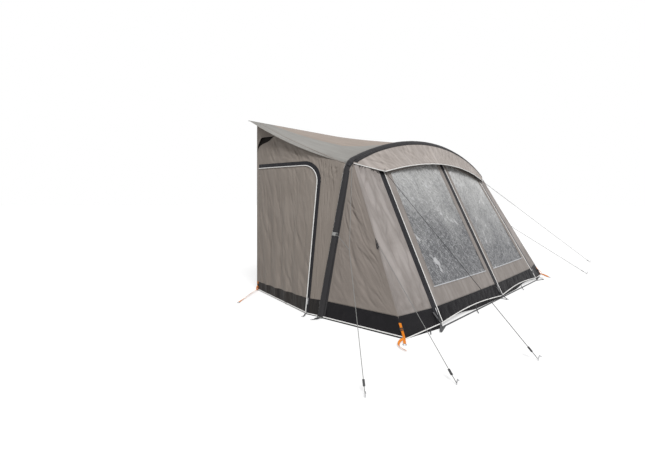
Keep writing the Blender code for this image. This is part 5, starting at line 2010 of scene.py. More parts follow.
    def _skirt(self) -> None:
        """Make the skirt with its raised hem."""
        shop, front = self.shop, self.lines.front
        shares = [k / 60 for k in range(-60, 61)]
        outline = [(s, self.lift(s)) for s in shares] + [(s, self.skirt) for s in shares[::-4]]
        relief = layers(Folds(0.0032, 0.07, angle=74, seed=1.0, run=2, crisp=0.4),
                        Folds(0.0020, 0.04, angle=60, seed=6.0, run=3))
        cut = Cut("front_skirt_skin", front, outline, self.out, shop.finish["skirt"], stretch=self.stretch,
                  spacing=0.013, relief=relief, hem=0.02)
        shop.sheet(cut, "skirt_cloth", "front_skirt", held="hung")
        hem = self.over(front, Side.LEFT, [(s, self.lift(s) + 0.002) for s in shares], 0.002)
        shop.pipe("front_hem_piping", [hem])
        seam = self.over(front, Side.LEFT, [(s, self.skirt) for s in shares], 0.0012)
        shop.pipe("front_skirt_seam", [seam], self.skirt_seam, "sleeve_edge", "skirt_cloth")

    def _flap(self) -> None:
        """Make the draught flap behind the skirt, which stands off the ground at its ends."""
        shop, lines, end = self.shop, self.lines, self.strip

        def flap(u: float, v: float) -> Vector:
            """Return a point of the flap."""
            foot = lines.front_foot(u)
            lean = (lines.corner_y + lines.brow_setback - foot.y) / lines.brow_height
            return Vector((foot.x, foot.y + self.flap_setback + lean * v, v))

        def edge(reach: float) -> float:
            """Return the height of its lower edge at a share of its half width."""
            return CLEAR + self.flap_rise * smooth(0.40, 0.70, reach) * (1 - 0.6 * smooth(0.8, 1, reach))

        low = [(end * k / 24, edge(abs(k) / 24)) for k in range(-24, 25)]
        cut = Cut("draught_skin", flap, [*low, (end, self.flap_height), (-end, self.flap_height)], self.out,
                  shop.finish["skirt"], stretch=(self.stretch[0], 1.1), spacing=0.02,
                  relief=Folds(0.003, 0.09, angle=92, seed=3.0, run=2), hem=0.03)
        shop.sheet(cut, "skirt_cloth", "draught_flap", held="hung", rests_on=["front_skirt"])

    def _hem_returns(self) -> None:
        """Turn the skirt's foot in behind each corner."""
        inner, corner = -self.strip * 0.985, -0.97
        outline = finer([(corner, CLEAR), (inner, CLEAR), (inner, 0.040), (corner, 0.010)], 0.05)
        for side in Side:
            cut = self.cut("hem_return", side, self.lines.front, outline, "skirt", self.stretch,
                           spacing=0.012, lift=-0.0045, hem=0.006)
            self.shop.strip(cut, "skirt_cloth", self.return_width, "front_skirt")

    def _webbing(self) -> None:
        """Make the webbing that lies behind the front's foot, with its tongues and pegging tabs."""
        shop, lines = self.shop, self.lines
        y = lines.corner_y - lines.centre_reach + self.flap_setback - self.line_gap
        path = resampled([Vector((x, y, self.web_rest)) for x in (-self.line_half, self.line_half)], 0.03)
        parts = [band("line", path, [Vector((0, 1, 0))] * len(path), self.line_width, self.web,
                      shop.finish["grey"])]
        for place, x, reach in self.tongues:
            parts += self._tongue(self.strip * place, y, Vector((x, lines.corner_y - reach, 0)))
        for share, height, x, reach in self.tabs:
            high = lines.front(share, height) + Vector((0, -0.004, 0))
            low = Vector((x, lines.corner_y - reach, 0.002))
            path = [high.lerp(low, t) - UP * (0.25 * height * math.sin(math.pi * t)) for t in even(0, 1, 8)]
            parts.append(band("peg_tab", path, [Vector((1, 0, 0))] * 9, self.tab_width, self.web,
                              shop.finish["sleeve_edge"]))
        shop.keep(joined("ground_line", parts), "webbing_grey", "ground_webbing")

    def _tongue(self, share: float, y: float, pull: Vector) -> list[bpy.types.Object]:
        """Make the webbing that runs from the ground line over a ring and up to its buckle on the skirt.

        Args:
            share: the zip's place across the front.
            y: the ground line's Y.
            pull: where its ring lies.

        Returns:
            The webbing, the buckle and the ring.
        """
        lines, finish, face = self.lines, self.shop.finish, self.out.normalized()
        start = Vector((lines.front_foot(share).x * self.line_half / lines.strip_foot_half, y, 0))
        out = (pull - start).normalized()
        side = UP.cross(out)
        low = lines.front(share, self.strip_foot) + face * self.tongue_lift
        sewn = lines.front(share - 0.022, self.strip_foot + 0.1) + face * self.tongue_lift
        rest = UP * self.web_rest
        path = [start + rest, start.lerp(pull, 0.5) + UP * 0.0014, pull + rest,
                pull + out * 0.004 + UP * 0.003, pull + out * 0.001 + UP * 0.008]
        over = [path[-1].lerp(low, t) for t in even(0, 1, 4)[1:]]
        over += [low.lerp(sewn, t) for t in even(0, 1, 3)[1:]]
        across = [side] * len(path) + [side.lerp(Vector((1, 0, 0)), min(1, k / 3)).normalized()
                                       for k in range(1, len(over) + 1)]
        spot, rise = low.lerp(sewn, 0.3) + face * 0.004, (sewn - low).normalized()
        return [band("tongue", path + over, across, self.tongue_width, self.web, finish["grey"]),
                *buckle(spot, rise, face, *self.tongue_buckle, finish["plastic"]),
                ring_of("ring", pull + out * 0.012 + UP * 0.004, UP, *self.tongue_ring, finish["metal"])]


@dataclass
class Sides(Wall):
    """A side wall with its door, vent and pad."""

    side: Side
    door_setback: float = 0.055
    hinge_gap: float = 0.0025
    edge_margin: float = 0.004
    head_height: float = 1.735
    head_fall: float = 0.020
    corner_radius: float = 0.26
    hem_gap: float = 0.006
    strip_width: float = 0.055
    strip_lift: float = 0.0042
    overrun: float = 0.05
    skirt: float = 0.18
    skirt_seam: float = 0.0020
    side_piping: float = 0.0060
    eave_seam: float = 0.0048
    flange_width: float = 0.05
    front_run: float = 0.95
    fold: float = 0.012
    folds: int = 5
    vent_foot: float = 1.95
    vent_crown: float = 2.166
    vent_setback: float = 0.115
    vent_run: float = 0.26
    vent_edge: float = 0.012
    vent_lift: float = 0.022
    vent_seat: float = 0.0039
    vent_open: float = 0.42
    vent_size: Pair = (0.5, 0.16)
    vent_seam: float = 0.0040
    patch_height: float = 0.8179
    patch_ring: Pair = (0.0055, 0.0016)
    peg_web: Pair = (0.020, 0.0018)
    peg_ring: Pair = (0.010, 0.0022)
    pad_gap: float = 0.0025
    pad_depth: float = 0.0205
    pad_half: Pair = (0.0295, 0.0195)
    pad_reach: Pair = (0.030, 0.075)
    pad_round: float = 0.018
    pad_channels: int = 9
    straps: tuple[tuple[Place, Place], ...] = (((-2.305, -0.014, 0.030), (-2.352, -0.020, 0.0032)),
                                               ((-2.283, -0.224, 0.034), (-2.345, -0.168, 0.0032)))

    def __post_init__(self) -> None:
        """Set the scale of the wall's own coordinates."""
        super().__post_init__()
        self.stretch = (1.27, self.lines.rear_top.z)
        self.word = self.side.word
        self.hinge = self.lines.rear_y - self.door_setback
        self.front_top = self.lines.near.points[-1].z
        self.front_size = (self.front_run, self.front_top)
        self.rear_name = "side_wall_rear_" + self.word

    def build(self) -> None:
        """Make every piece of this side."""
        self._wall()
        self._wall_edges()
        self._door()
        self._door_strip()
        self._side_front()
        self._corner()
        self._crease_patch()
        self._peg_straps()
        self._vent()
        self._pad()
        self.shop.dress("door_zip_slider_" + self.word, "metal")

    def panel(self, name: str, surface: Surface, outline: Sequence[Pair], finish: str, size: Pair,
              **how: object) -> Cut:
        """Return a panel of this side."""
        return self.cut(name, self.side, surface, outline, finish, size, **how)

    def line(self, surface: Surface, spots: Sequence[Pair], lift: float = STITCH_LIFT) -> list[Vector]:
        """Return points that lie over this side."""
        return self.over(surface, self.side, spots, lift)

    def own(self, outline: Sequence[Pair]) -> list[Pair]:
        """Turn places in Y and height into the wall's own coordinates."""
        return [self.lines.wall_place(y, z) for y, z in outline]

    def behind(self, outline: Sequence[Pair], limit: float) -> list[Pair]:
        """Return an outline in Y and height that ends at this Y."""
        return [(min(y, limit), z) for y, z in outline]

    def opening(self, grow: float = 0.0, low: float | None = None) -> list[Pair]:
        """Return the door's outline in Y and height.

        Args:
            grow: how far it is grown.
            low: the height of its foot.

        Returns:
            Its points from the hinge's foot round to the front edge's foot.
        """
        lines = self.lines
        slope = math.tan(lines.door_lean)
        foot_y = lines.corner_y + lines.door_foot_setback + self.edge_margin
        front = self.head_height - self.head_fall
        points = [(self.hinge, -self.overrun), (self.hinge, self.head_height),
                  (foot_y + slope * front, front), (foot_y - slope * self.overrun, -self.overrun)]
        flat = rounded(points, [0, 0, self.corner_radius, 0], 14)
        flat = grown(flat, grow) if grow else flat
        if low is None:
            return flat
        ends = []
        for tip, beside in ((flat[0], flat[1]), (flat[-1], flat[-2])):
            share = (low - beside[1]) / (tip[1] - beside[1])
            ends.append((beside[0] + (tip[0] - beside[0]) * share, low))
        return [ends[0], *flat[1:-1], ends[1]]

    def _wall(self) -> None:
        """Make the wall behind the leg, round the door's opening."""
        lines, (wide, tall), seed = self.lines, self.stretch, self.side.value * 4.0
        foot = CLEAR / tall
        door = self.own(finer(self.opening(0.0, CLEAR), 0.08, closed=False))
        outline = [(0, foot), *door, (2, foot), *[(2, k / 16) for k in range(1, 16)],
                   *[(along, 1.0) for along in even(2, 0, 40)]]
        tip = (wide * 2.0, tall * 0.99)
        folds = layers(Folds(0.0065, 0.055, seed=seed, focus=tip, reach=0.8, run=7, crisp=0.6),
                       Folds(0.0070, 0.050, seed=seed + 3, focus=(0.0, tall), reach=1.0, run=7),
                       Folds(0.0060, 0.050, angle=-58, seed=seed + 5, run=6),
                       Folds(0.0015, 0.05, angle=15, seed=seed + 8, run=3, crisp=0.3))

        def calm(point: Vector, u: float, v: float) -> float:
            """Return the folds' height, which lie flat under the vent's hood and lower beside the door."""
            away = math.hypot(point.y - lines.edge_y, point.z - lines.rear_top.z)
            return folds(point, u, v) * smooth(0.36, 0.50, away) * (0.3 + 0.7 * smooth(0.76, 0.92, v / tall))

        cut = self.panel("rear_wall", lines.wall, outline, "wall", self.stretch, spacing=0.016, relief=calm,
                         hem=0.045, rest=0.056)
        self.shop.sheet(cut, "wall_cloth", self.rear_name, rests_on=["roof_panel", "beam_sleeve"],
                        flat=(lines.edge_y - lines.tip.y, (lines.rear_top.z + lines.tip.z) / 2))

    def _wall_edges(self) -> None:
        """Pipe the wall's hem on both sides of the door, and finish its eave and seams."""
        shop, lines, low = self.shop, self.lines, 0.0075
        hems = [self.line(lines.wall, [(along, low) for along in even(*ends)], HEM_LIFT)
                for ends in ((1.06, 2.0, 20), (0.002, 0.040, 4))]
        shop.pipe("wall_hem_" + self.word, hems)
        eave = [self.side.place(lines.top_at(y) + UP * HEM_LIFT) for y in even(lines.edge_y, lines.tip.y, 60)]
        shop.pipe("eave_seam_" + self.word, [eave], self.eave_seam, "seam", "wall_cloth")
        rows = [self.line(lines.wall, [(1.98, k / 60) for k in range(2, 59)]),
                self.line(lines.wall, [(k / 40, 0.985) for k in range(1, 78)])]
        shop.sew("wall_stitches_" + self.word, rows, "wall_cloth")

    def _door(self) -> None:
        """Make the door's leaf, which hangs in soft upright folds, and its hem."""
        shop, lines, seed = self.shop, self.lines, self.side.value
        body = "door_" + self.word
        limit = self.hinge - self.hinge_gap
        flat = self.behind(self.opening(-0.0006, self.hem_gap), limit)
        start = (self.door_setback + self.hinge_gap) / (2.5 - lines.door_foot_setback)

        def hang(point: Vector, u: float, v: float) -> float:
            """Return how far the leaf's upright folds stand out.

            Args:
                point: the place.
                u: its first coordinate.
                v: its second.

            Returns:
                The height in metres.
            """
            along, share = u / self.stretch[0], v / self.stretch[1]
            past = (along - start) / (1 - start)
            if not 0 < past < 1:
                return 0.0
            head = min(share * lines.rail_height / self.head_height, 1.0)
            fade = math.sin(math.pi * past) * math.sqrt(1 - head * head)
            drift = 0.25 * ripple(along * 3, share * 2.5, 8.0 * seed)
            deep = math.sin(2 * math.pi * (self.folds * along + share + drift))
            return self.fold * 0.95 * fade * (deep - 0.25 * math.cos(4 * math.pi * self.folds * along))

        relief = layers(hang, Folds(0.0036, 0.038, angle=98, seed=2.0 * seed, run=9, crisp=0.6),
                        Folds(0.0030, 0.08, angle=-70, seed=5.0 * seed, run=5))
        cut = self.panel("door_leaf", lines.wall, self.own(finer(flat, 0.06)), "wall", self.stretch,
                         spacing=0.014, relief=relief, hem=0.05)
        shop.sheet(cut, "wall_cloth", "side_" + body, body=body, held="hung", rests_on=[self.rear_name])
        hem = [(y, self.hem_gap + 0.012) for y in even(limit - 0.01, flat[-1][0] + 0.01, 20)]
        shop.pipe("door_hem_" + self.word, [self.line(lines.wall, self.own(hem), HEM_LIFT)], body=body)
        seam = self.own(finer(grown(self.opening(0.0, 0.03), -0.018)[1:-1], 0.05, closed=False))
        shop.sew("door_stitches_" + self.word, [self.line(lines.wall, seam)], "wall_cloth", body=body)

    def _door_strip(self) -> None:
        """Make the dark strip over the door's zip, with its white piping."""
        shop, wall, seed = self.shop, self.lines.wall, self.side.value
        outer, inner, sewn = (self.behind(self.opening(grow, low)[1:], self.hinge)
                              for grow, low in ((self.strip_width, 0.002), (0.0006, 0.002), (0.046, 0.01)))
        relief = layers(Folds(0.0009, 0.030, angle=25, seed=seed * 3.0, run=2, crisp=0.4),
                        Folds(0.0007, 0.05, angle=85, seed=seed + 4.0, run=4, crisp=0.3))
        cut = self.panel("door_strip", wall, self.own(finer(outer + inner[::-1], 0.05)), "tape", self.stretch,
                         spacing=0.010, relief=relief, hem=0.012, lift=self.strip_lift, thickness=STRIP_CLOTH)
        shop.strip(cut, "strip_tape", self.strip_width, self.rear_name, "door_zip_cover_" + self.word)
        edge, row = (self.line(wall, self.own(finer(flat, 0.04, closed=False)), self.strip_lift + STRIP_CLOTH)
                     for flat in (inner, sewn))
        shop.pipe("door_piping_" + self.word, [edge])
        shop.sew("door_strip_stitches_" + self.word, [row], "strip_tape", finish="sleeve_edge")

    def _side_front(self) -> None:
        """Make the wall between the leg and the corner crease, and its skirt and hem."""
        shop, surface, size, top = self.shop, self.lines.side_front, self.front_size, self.front_top
        low, foot, seed = self.skirt / top, CLEAR / top, self.side.value * 6.0
        fan = layers(Folds(0.0075, 0.055, seed=seed, focus=(-0.12, top * 0.80), reach=1.3, run=9, crisp=0.6),
                     Folds(0.0050, 0.070, angle=-46, seed=seed + 2, run=7, crisp=0.55),
                     Folds(0.0040, 0.040, seed=seed + 4, focus=(0.0, top * 0.45), reach=0.30),
                     Folds(0.0040, 0.040, seed=seed + 6, focus=(size[0], 0.12), reach=0.40))
        cut = self.panel("front_side_wall", surface, finer([(0, low), (1, low), (1, 1), (0, 1)], 0.05),
                         "gusset", size, spacing=0.014, relief=fan, hem=0.05, rest=0.026)
        shop.sheet(cut, "wall_cloth", "side_wall_front_" + self.word)
        folds = layers(Folds(0.0030, 0.08, angle=70, seed=seed, run=2),
                       Folds(0.0022, 0.05, angle=40, seed=seed + 3))
        cut = self.panel("side_skirt_skin", surface, finer([(0, foot), (1, foot), (1, low), (0, low)], 0.05),
                         "skirt", size, spacing=0.013, relief=folds, hem=0.02)
        shop.sheet(cut, "skirt_cloth", "side_skirt_" + self.word, held="hung")
        hem, seam = (self.line(surface, [(along, share) for along in even(0, 1, 30)], lift)
                     for share, lift in ((foot * 18, HEM_LIFT), (low, 0.0012)))
        shop.pipe("side_hem_" + self.word, [hem], self.side_piping)
        shop.pipe("side_skirt_seam_" + self.word, [seam], self.skirt_seam, "sleeve_edge", "skirt_cloth")

    def _corner(self) -> None:
        """Finish the crease's seam, the sleeve's sewn flange and the stitches beside them."""
        shop, lines, top = self.shop, self.lines, self.front_top
        clear = Vector((-0.0008, -0.0012, 0.0004))
        crease = [self.side.place(lines.crease(k / 80) + clear) for k in range(8, 80)]
        shop.pipe("corner_seam_" + self.word, [crease], FINE_SEAM, "seam", "wall_cloth")
        outline = [(0, 0.012), (0.028, 0.012), (0.034, 0.45), (0.080, 0.95), (0, 0.95)]
        flange = self.panel("sleeve_flange", lines.side_front, outline, "sleeve", self.front_size,
                            spacing=0.010, lift=0.0032, thickness=STRIP_CLOTH, hem=0.01,
                            relief=Folds(0.0010, 0.05, angle=20, seed=self.side.value * 6.0))
        shop.strip(flange, "sleeve_cloth", self.flange_width, "side_wall_front_" + self.word)
        rows = [self.line(lines.side_front, [(along, k / 60) for k in range(7, 59)], 0.0014)
                for along in (0.985, 0.03)]
        front = [(-0.992, self.skirt + (top - self.skirt) * k / 60) for k in range(1, 59)]
        rows.append(offset_path(lines.front, front, Vector((0, -1, 0.4)), 0.0014, self.side))
        shop.sew("corner_stitches_" + self.word, rows, "wall_cloth")

    def _crease_patch(self) -> None:
        """Sew a patch of webbing cloth over the crease, where its guy line starts."""
        shop, lines, height, top = self.shop, self.lines, self.patch_height, self.front_top
        near = [(1.0, (height + 0.080) / top), (0.966, (height - 0.030) / top), (1.0, (height - 0.045) / top)]
        far = [(-1.0, height - 0.045), (-0.992, height - 0.010), (-1.0, height + 0.065)]
        parts = [Cut(name, surface, outline, out, shop.finish["tape"], self.side, size, spacing=0.008,
                     lift=0.0026, thickness=STRIP_CLOTH).make()
                 for name, surface, outline, size, out in (
                     ("near", lines.side_front, near, self.front_size, self.out),
                     ("far", lines.front, far, (shop.arch.half_span, 1.11), Vector((0, -1, 0.4))))]
        anchor = self.side.place(lines.crease(height / lines.crease_head.z) + Vector((-0.006, -0.006, 0)))
        parts.append(ring_of("ring", anchor, Vector((1, 0.2, 0.1)), *self.patch_ring, shop.finish["plastic"]))
        shop.keep(joined("crease_patch_" + self.word, parts), "strip_tape")

    def _peg_straps(self) -> None:
        """Make the short straps that peg the wall's foot by the door and by the leg."""
        finish, parts = self.shop.finish, []
        for start, end in self.straps:
            high, low = (self.side.place(Vector(p)) for p in (start, end))
            out = (low - high).to_2d().normalized().to_3d()
            path = [high.lerp(low, t) - UP * (0.008 * math.sin(math.pi * t)) for t in even(0, 1, 8)]
            parts.append(band("peg_strap", path, [UP.cross(out)] * 9, *self.peg_web, finish["grey"]))
            parts.append(ring_of("ring", low + out * self.peg_ring[0] + UP * 0.0005, UP, *self.peg_ring,
                                 finish["metal"]))
        self.shop.keep(joined("peg_straps_" + self.word, parts), "webbing_grey")

    def vent(self, k: float, t: float) -> Vector:
        """Return a point of the vent's hood: k along its lip, t from the lip to its sewn edge.

        Args:
            k: 0 at the lip's foot to 1 at its front end.
            t: 0 at the lip to 1 at its sewn edge.

        Returns:
            The point.
        """
        lines = self.lines
        rear = lines.edge_y - self.vent_edge
        left = rear - self.vent_setback
        if k <= 0.5:
            angle = math.pi * k
            top = lines.top_at(rear).z - self.vent_edge
            rise = math.sin(angle)
            lip = (left + self.vent_setback * math.cos(angle) ** 2,
                   self.vent_foot + (self.vent_crown - self.vent_foot) * rise)
            seat = (rear, self.vent_foot + self.vent_edge + (top - self.vent_foot) * rise)
        else:
            far = 2 * k - 1
            y = left - self.vent_run * far
            lip = (y, self.vent_crown)
            top = lines.top_at(rear + (y - rear) * far)
            seat = (top.y, max(top.z - self.vent_edge, self.vent_crown + self.vent_edge))
        along, share = lines.wall_place(lip[0] + (seat[0] - lip[0]) * t, lip[1] + (seat[1] - lip[1]) * t)
        place = lines.wall(along, share)
        place.x -= self.vent_seat + self.vent_lift * (1 - t) ** 2 * math.sin(math.pi * k)
        return place

    def _vent(self) -> None:
        """Make the hood over the vent, the dark mesh under it, whose dark colour and size also paint the
        shadow under the hood, and the piping of its lip.
        """
        shop = self.shop
        square = finer([(0, 0), (1, 0), (1, 1), (0, 1)], 0.05)
        cut = self.panel("vent_cowl", self.vent, square, "wall", self.vent_size, spacing=0.010)
        shop.sheet(cut, "wall_cloth", "vent_hood_" + self.word)

        def net(k: float, t: float) -> Vector:
            """Return a point of the dark mesh, which lies on the wall; the dark patch is part mesh, part
            painted shadow.
            """
            place = self.vent(k, t)
            place.x += self.vent_lift * (1 - t) ** 2 * math.sin(math.pi * k) + self.vent_seat - 0.0022
            return place

        # The dark patch reaches down in an arc below the lip: part mesh, part painted shadow under the hood.
        under = [(k / 24, 0.06 - self.vent_open * math.sin(math.pi * k / 24) ** 0.8) for k in range(1, 24)]
        cut = self.panel("vent_net", net, [*under, (0.96, 0.9), (0.04, 0.9)], "mesh", self.vent_size,
                         spacing=0.012, thickness=0.0006)
        shop.sheet(cut, "wall_cloth")
        lip = [self.side.place(self.vent(k, 0.0)) for k in even(0, 1, 60)]
        shop.pipe("vent_lip_" + self.word, [lip], self.vent_seam, "seam", "wall_cloth")

    def _pad(self) -> None:
        """Make the padded strip that presses the wall against the caravan, with its sewn channels."""
        lines, steps, sides = self.lines, 150, 28
        low, top = self.pad_reach[0], lines.rear_top.z - self.pad_reach[1]

        def ring(share: float) -> list[Vector]:
            """Return the pad's section at a share of its height."""
            height = low + (top - low) * share
            wall = lines.wall(*lines.wall_place(lines.rear_y - 0.020, height))
            close = min(share, 1 - share) * (top - low)
            shut = math.sqrt(max(0.0, 1 - (1 - min(close / self.pad_round, 1.0)) ** 2))
            plump = (0.90 + 0.10 * abs(math.sin(math.pi * share * self.pad_channels)) ** 0.5) * shut
            centre = Vector((wall.x + self.pad_gap + 0.030, lines.rear_y - self.pad_depth, height))
            made = []
            for turn in even(0, 2 * math.pi, sides)[:-1]:
                c, s = math.cos(turn), math.sin(turn)
                x, y = (math.copysign(abs(way) ** 0.45, way) * half
                        for way, half in zip((c, s), self.pad_half))
                wrinkle = 1 + 0.02 * ripple(height * 30, c * 2, s * 2)
                made.append(self.side.place(centre + Vector((x, y, 0)) * plump * wrinkle))
            return made

        piece = rows_piece("rear_bolster_" + self.word, [ring(share) for share in even(0, 1, steps)],
                           self.shop.finish["pad"],
                           lambda column, row: (column * 0.2 / sides, row * (top - low) / steps), ringed=True)
        self.shop.keep(piece, "pad_foam", "rear_pad_" + self.word)


@dataclass
class CornerStrap:
    """One orange strap: webbing sewn on the awning, a buckle, a ring on the ground and a loose tail."""

    shop: Workshop
    node: str
    foot: Vector
    rise: Vector
    normal: Vector
    ring: Vector
    seat: float = 0.0021
    width: float = 0.025
    cloth: float = 0.0022
    sewn: float = 0.130
    low: float = 0.022
    ring_radius: float = 0.016
    ring_wire: float = 0.003
    buckle_place: float = 0.080
    buckle_size: Place = (0.024, 0.034, 0.0028)
    buckle_lift: float = 0.0030
    tail: float = 0.075
    curl: tuple[Place, ...] = ()

    def build(self) -> None:
        """Make the strap as one piece."""
        finish = self.shop.finish
        out = Vector((self.ring.x - self.foot.x, self.ring.y - self.foot.y, 0)).normalized()
        clear = self.normal * (self.seat + self.cloth / 2)
        top, low = (self.foot + self.rise * (h / self.rise.z) + clear for h in (self.sewn, self.low))
        centre = Vector((self.ring.x, self.ring.y, self.ring_wire))
        flat = UP.cross(self.normal).normalized()
        end = centre - out * self.ring_radius
        turned = UP.cross(out).normalized()
        turned = turned if turned.dot(flat) > 0 else -turned
        path = [top.lerp(low, t) + self.normal * 0.0012 * math.sin(math.pi * t) for t in even(0, 1, 12)]
        across = [flat] * len(path)
        for t in even(0, 1, 10)[1:]:
            path.append(low.lerp(end + UP * 0.002, t) + UP * 0.004 * math.sin(math.pi * t))
            edge = UP * (0.9 * math.sin(math.pi * t) * (0.0 if self.curl else 1.0))
            across.append((flat.lerp(turned, t).normalized() + edge).normalized())
        path.append(end + out * 0.002 + UP * 0.0045)
        across.append(turned)
        up = self.rise * (self.buckle_place / self.rise.z)
        spot = self.foot + up + clear + self.normal * self.buckle_lift
        tail, ways = self._curled(low.lerp(end, 0.35), flat) if self.curl else self._hanging(spot, flat)
        parts = [band("web", path, across, self.width, self.cloth, finish["orange"]),
                 ring_of("ring", centre, UP, self.ring_radius, self.ring_wire, finish["metal"]),
                 *buckle(spot, self.rise, self.normal, *self.buckle_size, finish["plastic"]),
                 band("tail", tail, ways, self.width * 0.92, self.cloth * 0.8, finish["orange"])]
        name = self.node.replace("strap", "webbing")
        self.shop.keep(joined(name, parts), "webbing_orange", self.node)

    def _hanging(self, spot: Vector, flat: Vector) -> tuple[list[Vector], list[Vector]]:
        """Return the path of a tail that hangs from its buckle, and the directions of its width.

        Args:
            spot: the buckle's middle.
            flat: the direction of the strap's width.

        Returns:
            Both lists.
        """
        shares = even(0, 1, 16)
        path = [spot - self.rise * (0.008 + self.tail * t * 0.9) + flat * (0.012 * t * t)
                + self.normal * (math.sin(t * 2.6) * 0.018 + 0.004) for t in shares]
        return path, [(flat + self.rise * 0.35 * t).normalized() for t in shares]

    def _curled(self, start: Vector, flat: Vector) -> tuple[list[Vector], list[Vector]]:
        """Return the path of a tail that curls over the ground, and the directions of its width.

        Args:
            start: where it leaves the strap.
            flat: the direction of the strap's width.

        Returns:
            Both lists.
        """
        points = [start + UP * 0.008, *(Vector(p) for p in self.curl)]
        path = [interpolate_bezier(*bow, 7)[j] for bow in bows(points) for j in range(6)] + [points[-1]]
        ways = [path[min(k + 1, len(path) - 1)] - path[max(k - 1, 0)] for k in range(len(path))]
        return path, [flat, *((way.cross(UP).normalized() + UP * 0.8).normalized() for way in ways[1:])]


def bows(points: Sequence[Vector]) -> list[tuple[Vector, Vector, Vector, Vector]]:
    """Return the curve pieces of a smooth line through points.

    Args:
        points: the points, in order.

    Returns:
        Four points for each piece: its ends and its two handles.
    """
    found = []
    for k in range(len(points) - 1):
        before, ahead = points[max(k - 1, 0)], points[min(k + 2, len(points) - 1)]
        start, end = points[k], points[k + 1]
        found.append((start, start + (end - before) / 6, end - (ahead - start) / 6, end))
    return found


@dataclass
class Straps:
    """The four corner straps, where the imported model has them, with their rings' places on the ground."""

    shop: Workshop
    width: float = 0.025
    left_x: float = -2.205
    left_reach: float = 0.068
    right_x: float = 1.940
    right_reach: float = 0.169
    peg_radius: float = 0.003
    peg_sides: int = 6
    rear_x: float = 2.580
    rear_run: float = 2.105
    rear_sewn: float = 0.130
    curl: tuple[Place, ...] = ((-2.195, -1.172, 0.020), (-2.262, -1.200, 0.012), (-2.300, -1.251, 0.012),
                               (-2.318, -1.316, 0.012))

    def build(self) -> None:
        """Make the four straps."""
        self._front_left()
        self._front_right()
        for side in Side:
            self._rear(side)

    def _front_left(self) -> None:
        """Make the strap on the left corner's crease, whose tail curls over the ground."""
        lines, corner = self.shop.lines, self.shop.lines.crease_foot
        rise = (lines.crease_head - corner).normalized()
        ring = Vector((self.left_x, lines.corner_y - self.left_reach, 0))
        level = (ring - corner).normalized()
        CornerStrap(self.shop, "corner_strap_front_left", corner, rise,
                    (level - rise * level.dot(rise)).normalized(), ring, seat=0.0033, curl=self.curl).build()

    def _front_right(self) -> None:
        """Make the strap on the front's foot beside the right corner."""
        lines = self.shop.lines
        foot, beside = (lines.front_foot(1 - k * self.width / lines.corner_half) for k in (1, 2))
        rise = (lines.front_head(1.0) - foot).normalized()
        reach = self.right_reach - self.peg_radius * math.cos(math.pi / self.peg_sides)
        normal = -(beside - foot).cross(rise).normalized()
        CornerStrap(self.shop, "corner_strap_front_right", foot, rise, normal,
                    Vector((self.right_x, lines.corner_y - reach, 0))).build()

    def _rear(self, side: Side) -> None:
        """Make the strap on one side wall, beside the caravan."""
        lines = self.shop.lines
        middle, edge = lines.rear_y - self.width * 1.5, lines.rear_y - self.width / 2
        low, high, beside = (side.place(lines.wall(*lines.wall_place(y, z)))
                             for y, z in ((middle, 0.0), (middle, self.rear_sewn), (edge, 0)))
        rise = (high - low).normalized()
        normal = rise.cross(beside - low).normalized()
        normal = normal if normal.x * side.value > 0 else -normal
        CornerStrap(self.shop, "corner_strap_rear_" + side.word, low, rise, normal,
                    Vector((side.value * self.rear_x, lines.corner_y + self.rear_run, 0))).build()


@dataclass(frozen=True)
class Guy:
    """One guy line: its route from the awning to its peg, in metres behind the front corners."""

    name: str
    route: tuple[Place, ...]
    finish: str = "cord"
    radius: float = 0.0026
    peg_radius: float = 0.0035
    peg_height: float = 0.050
    peg_lean: float = 0.010
    end_height: float = 0.010
    clearance: float = 0.0013

    def path(self, corner_y: float) -> list[Vector]:
        """Return the line's points, with its end against the peg.

        Args:
            corner_y: the front corners' Y.

        Returns:
            The points from the awning to the peg.
        """
        points = [Vector(p) + Vector((0, corner_y, 0)) for p in self.route]
        stake = points[-1]
        away = (stake - points[-2]).to_2d().normalized().to_3d()
        loop = stake + away * (self.peg_lean * self.end_height / self.peg_height) + UP * self.end_height
        direction = (loop - points[-2]).normalized()
        clear = (self.peg_radius - 0.0003 + self.radius * abs(direction.z)) / direction.to_2d().length
        points[-1] = loop - direction * clear
        points[0] += (points[1] - points[0]).normalized() * self.clearance
        return points

    def build(self, shop: Workshop) -> None:
        """Make the line and dress its runner and peg."""
        points = resampled(self.path(shop.lines.corner_y), 0.08)
        cord = tube("cord_" + self.name, points, self.radius, shop.finish[self.finish], sides=10)
        shop.keep(cord, "guy_braid", "guy_line_" + self.name)
        runner, peg = "guy_runner_" + self.name, "guy_peg_" + self.name
        shop.dress(runner, "plastic")
        shop.dress(peg, "metal")
        hand_in(points)


def hand_in(points: Sequence[Vector]) -> None:
    """Work out a line's first point and its length, and keep neither.

    Args:
        points: its points.
    """
    tuple(points[0])
    round(reaches(points)[-1], 3)


BRANCH_GAP = 0.0006
KNOT_RADIUS = 0.0034
KNOT_LENGTH = 0.012
KNOT_GAP = 0.002
KNOT_CORD = 0.0014
FORK = (-2.400, 0.410, 0.808)
LEG_BAND = (-2.034, 0.917, 0.890)
# The brow lines and the right crease line take the darker copy of the braid, as painted shade.
GUYS = (
    Guy("shoulder", ((-1.847, 0.868, 1.665), FORK, (-3.109, -0.364, 0.0))),
    Guy("left_crease", ((-1.9416, 0.4226, 0.8179), (-2.529, -0.697, 0.0))),
    Guy("left_brow", ((-1.420, 0.722, 1.622), (-1.702, -0.972, 0.0)), "dark_cord"),
    Guy("right_brow", ((1.420, 0.722, 1.622), (4.211, -0.342, 0.0)), "dark_cord"),
    Guy("right_crease", ((1.9416, 0.4226, 0.8179), (2.710, -0.542, 0.0)), "dark_cord"),
)


